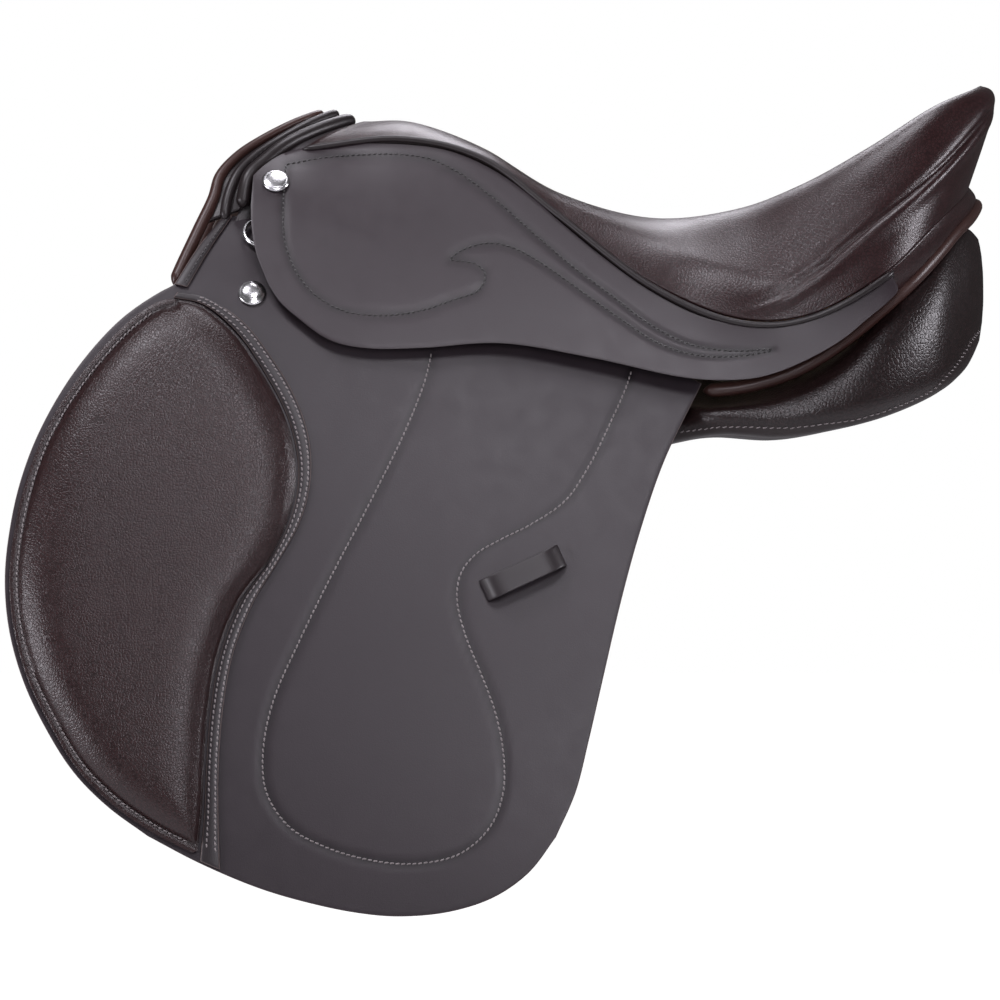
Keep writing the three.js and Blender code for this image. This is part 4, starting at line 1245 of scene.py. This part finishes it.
def billet_width(z):
    """Half width of a billet strap: rounded at its head, tapered at its tip."""
    tip = np.clip((z - BILLET_TIP) / 16, 0, 1)
    above = np.clip(z - (BILLET_TOP - BILLET_HALF), 0, BILLET_HALF) / BILLET_HALF
    head = np.sqrt(np.clip(1 - above**2, 0.02, 1))
    return BILLET_HALF * (0.35 + 0.65 * np.sin(tip * math.pi / 2)) * head


def punched_patch(middle):
    """Rings of points from a rectangle across the strap in to the round hole."""
    side = np.linspace(-1, 1, 9)[:-1]
    one = np.ones(len(side))
    corners = [(side, -one), (one, side), (-side, one), (-one, -side)]
    square = np.vstack([np.stack(pair_of, axis=1) for pair_of in corners] + [[[-1, -1]]])
    angle = np.linspace(0, 2 * math.pi, len(square)) - 3 * math.pi / 4
    circle = np.stack([np.cos(angle), np.sin(angle)], axis=1) * HOLE_RADIUS
    steps = np.linspace(0, 1, 5)[:, None, None]
    return square * (BILLET_HALF, HOLE_PATCH) * (1 - steps) + circle * steps + (0, middle)


def walled(flat, faces):
    """Merges equal points of a flat outline mesh, and lists its border edges."""
    points, index = np.unique(np.round(flat, 3), axis=0, return_inverse=True)
    index = index.ravel()
    faces = [[int(index[v]) for v in face] for face in faces]
    edges = {(a, b) for face in faces for a, b in zip(face, face[1:] + face[:1])}
    return points, faces, sorted((a, b) for a, b in edges if (b, a) not in edges)


def make_billet(base, x, depth):
    """Strap with a round top, a tapered tip and a row of punched holes."""
    columns = np.linspace(-1, 1, 9)
    holes = [LOWEST_HOLE + i * HOLE_SPACING for i in range(BILLET_HOLES)]
    grids = [punched_patch(middle) for middle in holes]
    breaks = [BILLET_TIP] + [z + d for z in holes for d in (-HOLE_PATCH, HOLE_PATCH)] + [BILLET_TOP]
    for low, high in zip(breaks[::2], breaks[1::2]):
        z = np.linspace(low, high, int((high - low) / 4) + 2)[:, None]
        grids.append(np.stack([columns * billet_width(z), np.repeat(z, 9, 1)], axis=-1))
    faces = []
    start = 0
    for grid in grids:
        faces.extend(grid_faces(*grid.shape[:2], start).tolist())
        start += grid.shape[0] * grid.shape[1]
    flat, faces, border = walled(np.vstack([grid.reshape(-1, 2) for grid in grids]), faces)
    flat = flat + (x, 0)
    count = len(flat)
    skins = [lay(flat, flap_face, -depth), lay(flat, flap_face, -depth - BILLET_THICK)]
    inner = [[v + count for v in face[::-1]] for face in faces]
    walls = [[b, a, a + count, b + count] for a, b in border]
    indices = [0] * len(faces) + [1] * len(inner) + [2] * len(walls)
    piece = new_object(base, np.vstack(skins), faces + inner + walls, ("strap", "lining", "edge"), indices)
    soften(piece, 0.5)
    pair(piece, base + "_strap", body=base, replaces=(base,))


# Nail caps: face they sit on, place in side view, height above it, and profile as radius and height.
NAILS = {
    "head_nail": (skirt_face, (-176.0, 136.0), 0.6, [
        (8.3, 0), (8.5, 0.5), (8.4, 1.2), (7.6, 1.9), (6.9, 2.2), (6.5, 2.0), (6.2, 2.15), (4, 2.5),
        (1.5, 2.6), (0.2, 2.62),
    ]),
    "flap_nail": (flap_face, (-190.0, 66.0), 0.3, [
        (8.5, 0), (8.8, 0.5), (8.6, 1.2), (7.9, 2.0), (7.3, 2.1), (6.6, 2.7), (5, 3.4), (3, 3.85),
        (1.2, 4.0), (0.2, 4.0),
    ]),
}


def make_nails():
    for node, (face, place, standoff, profile) in NAILS.items():
        spot = np.array(place)
        cap = lathe(node + "_cap", profile, lay(spot, face, standoff), normals_on(spot, face), "polished")
        pair(cap, node + "_cap", replaces=(node,))


DEE_X, DEE_Z = -184.0, 102.0
DEE_LIFT = 3.9
DEE_HALF_HEIGHT = 10.2
DEE_REACH = 9.5
DEE_WIRE = 1.5


def make_dee():
    """Ring with its straight bar upright and its bow towards the front."""
    spot = np.array([DEE_X, DEE_Z])
    normal = normals_on(spot, flap_face)
    centre = lay(spot, flap_face) + normal * DEE_LIFT * MM
    ends = [np.array([DEE_X, -float(flap_face(DEE_X, z)), z]) for z in (DEE_Z + 8, DEE_Z - 8)]
    axis = ends[0] - ends[1]
    axis /= np.linalg.norm(axis)
    forward = np.cross(axis, normal)
    forward /= np.linalg.norm(forward)
    if forward[0] > 0:
        forward = -forward
    bend = np.linspace(-math.pi / 2, math.pi / 2, 13)
    loop = [
        centre + axis * math.sin(a) * DEE_HALF_HEIGHT * MM + forward * (2 + math.cos(a) * DEE_REACH) * MM
        for a in bend
    ]
    loop += [centre + axis * d * MM for d in (9, 3, -3, -9)]
    path = spline(loop, 90, closed=True)[:-1]
    piece = closed_tube("dee", path, DEE_WIRE * MM, "polished")
    pair(piece, "dee_ring_wire", body="dee_ring", replaces=("dee_ring",))


def closed_tube(name, path, radius, look, sides=12):
    """Round wire along a closed, nearly flat path in metres."""
    count = len(path)
    tangent = np.roll(path, -1, 0) - np.roll(path, 1, 0)
    tangent /= np.linalg.norm(tangent, axis=1)[:, None]
    plane = np.cross(path[0] - path.mean(0), path[count // 4] - path.mean(0))
    plane /= np.linalg.norm(plane)
    side = np.cross(tangent, plane)
    angle = np.linspace(0, 2 * math.pi, sides, endpoint=False)
    ring = np.cos(angle)[None, :, None] * side[:, None] + np.sin(angle)[None, :, None] * plane
    vertices = (path[:, None] + ring * radius).reshape(-1, 3)
    return new_object(name, vertices, tube_faces(count, sides, closed=True), [look])


KEPT_NODES = {
    "wood": ("tree_head", "tree_cantle", "tree_rail_near", "tree_rail_off"),
    "steel": ("head_plate", "gullet_plate", "tree_spring_near", "tree_spring_off",
              "stirrup_bar_near", "stirrup_bar_off", "bar_catch_near", "bar_catch_off"),
    "web": ("seat_web_near", "seat_web_off", "straining_web", "girth_web_front", "girth_web_rear"),
    "strap": ("dee_chape_near", "dee_chape_off"),
}


def finish_kept_nodes():
    for look, names in KEPT_NODES.items():
        for name in names:
            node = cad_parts[name]
            node.data.materials.clear()
            node.data.materials.append(MATERIALS[look])


make_camera()
make_studio()
make_flap()
make_knee_pad()
make_knee_border()
make_front_strip()
make_keeper_loop()
make_skirt()
make_seat()
make_cantle_apron()
make_pommel()
make_cantle_piping()
make_panel()
make_sweat_flap()
for billet in BILLETS:
    make_billet(*billet)
make_nails()
make_dee()
finish_kept_nodes()
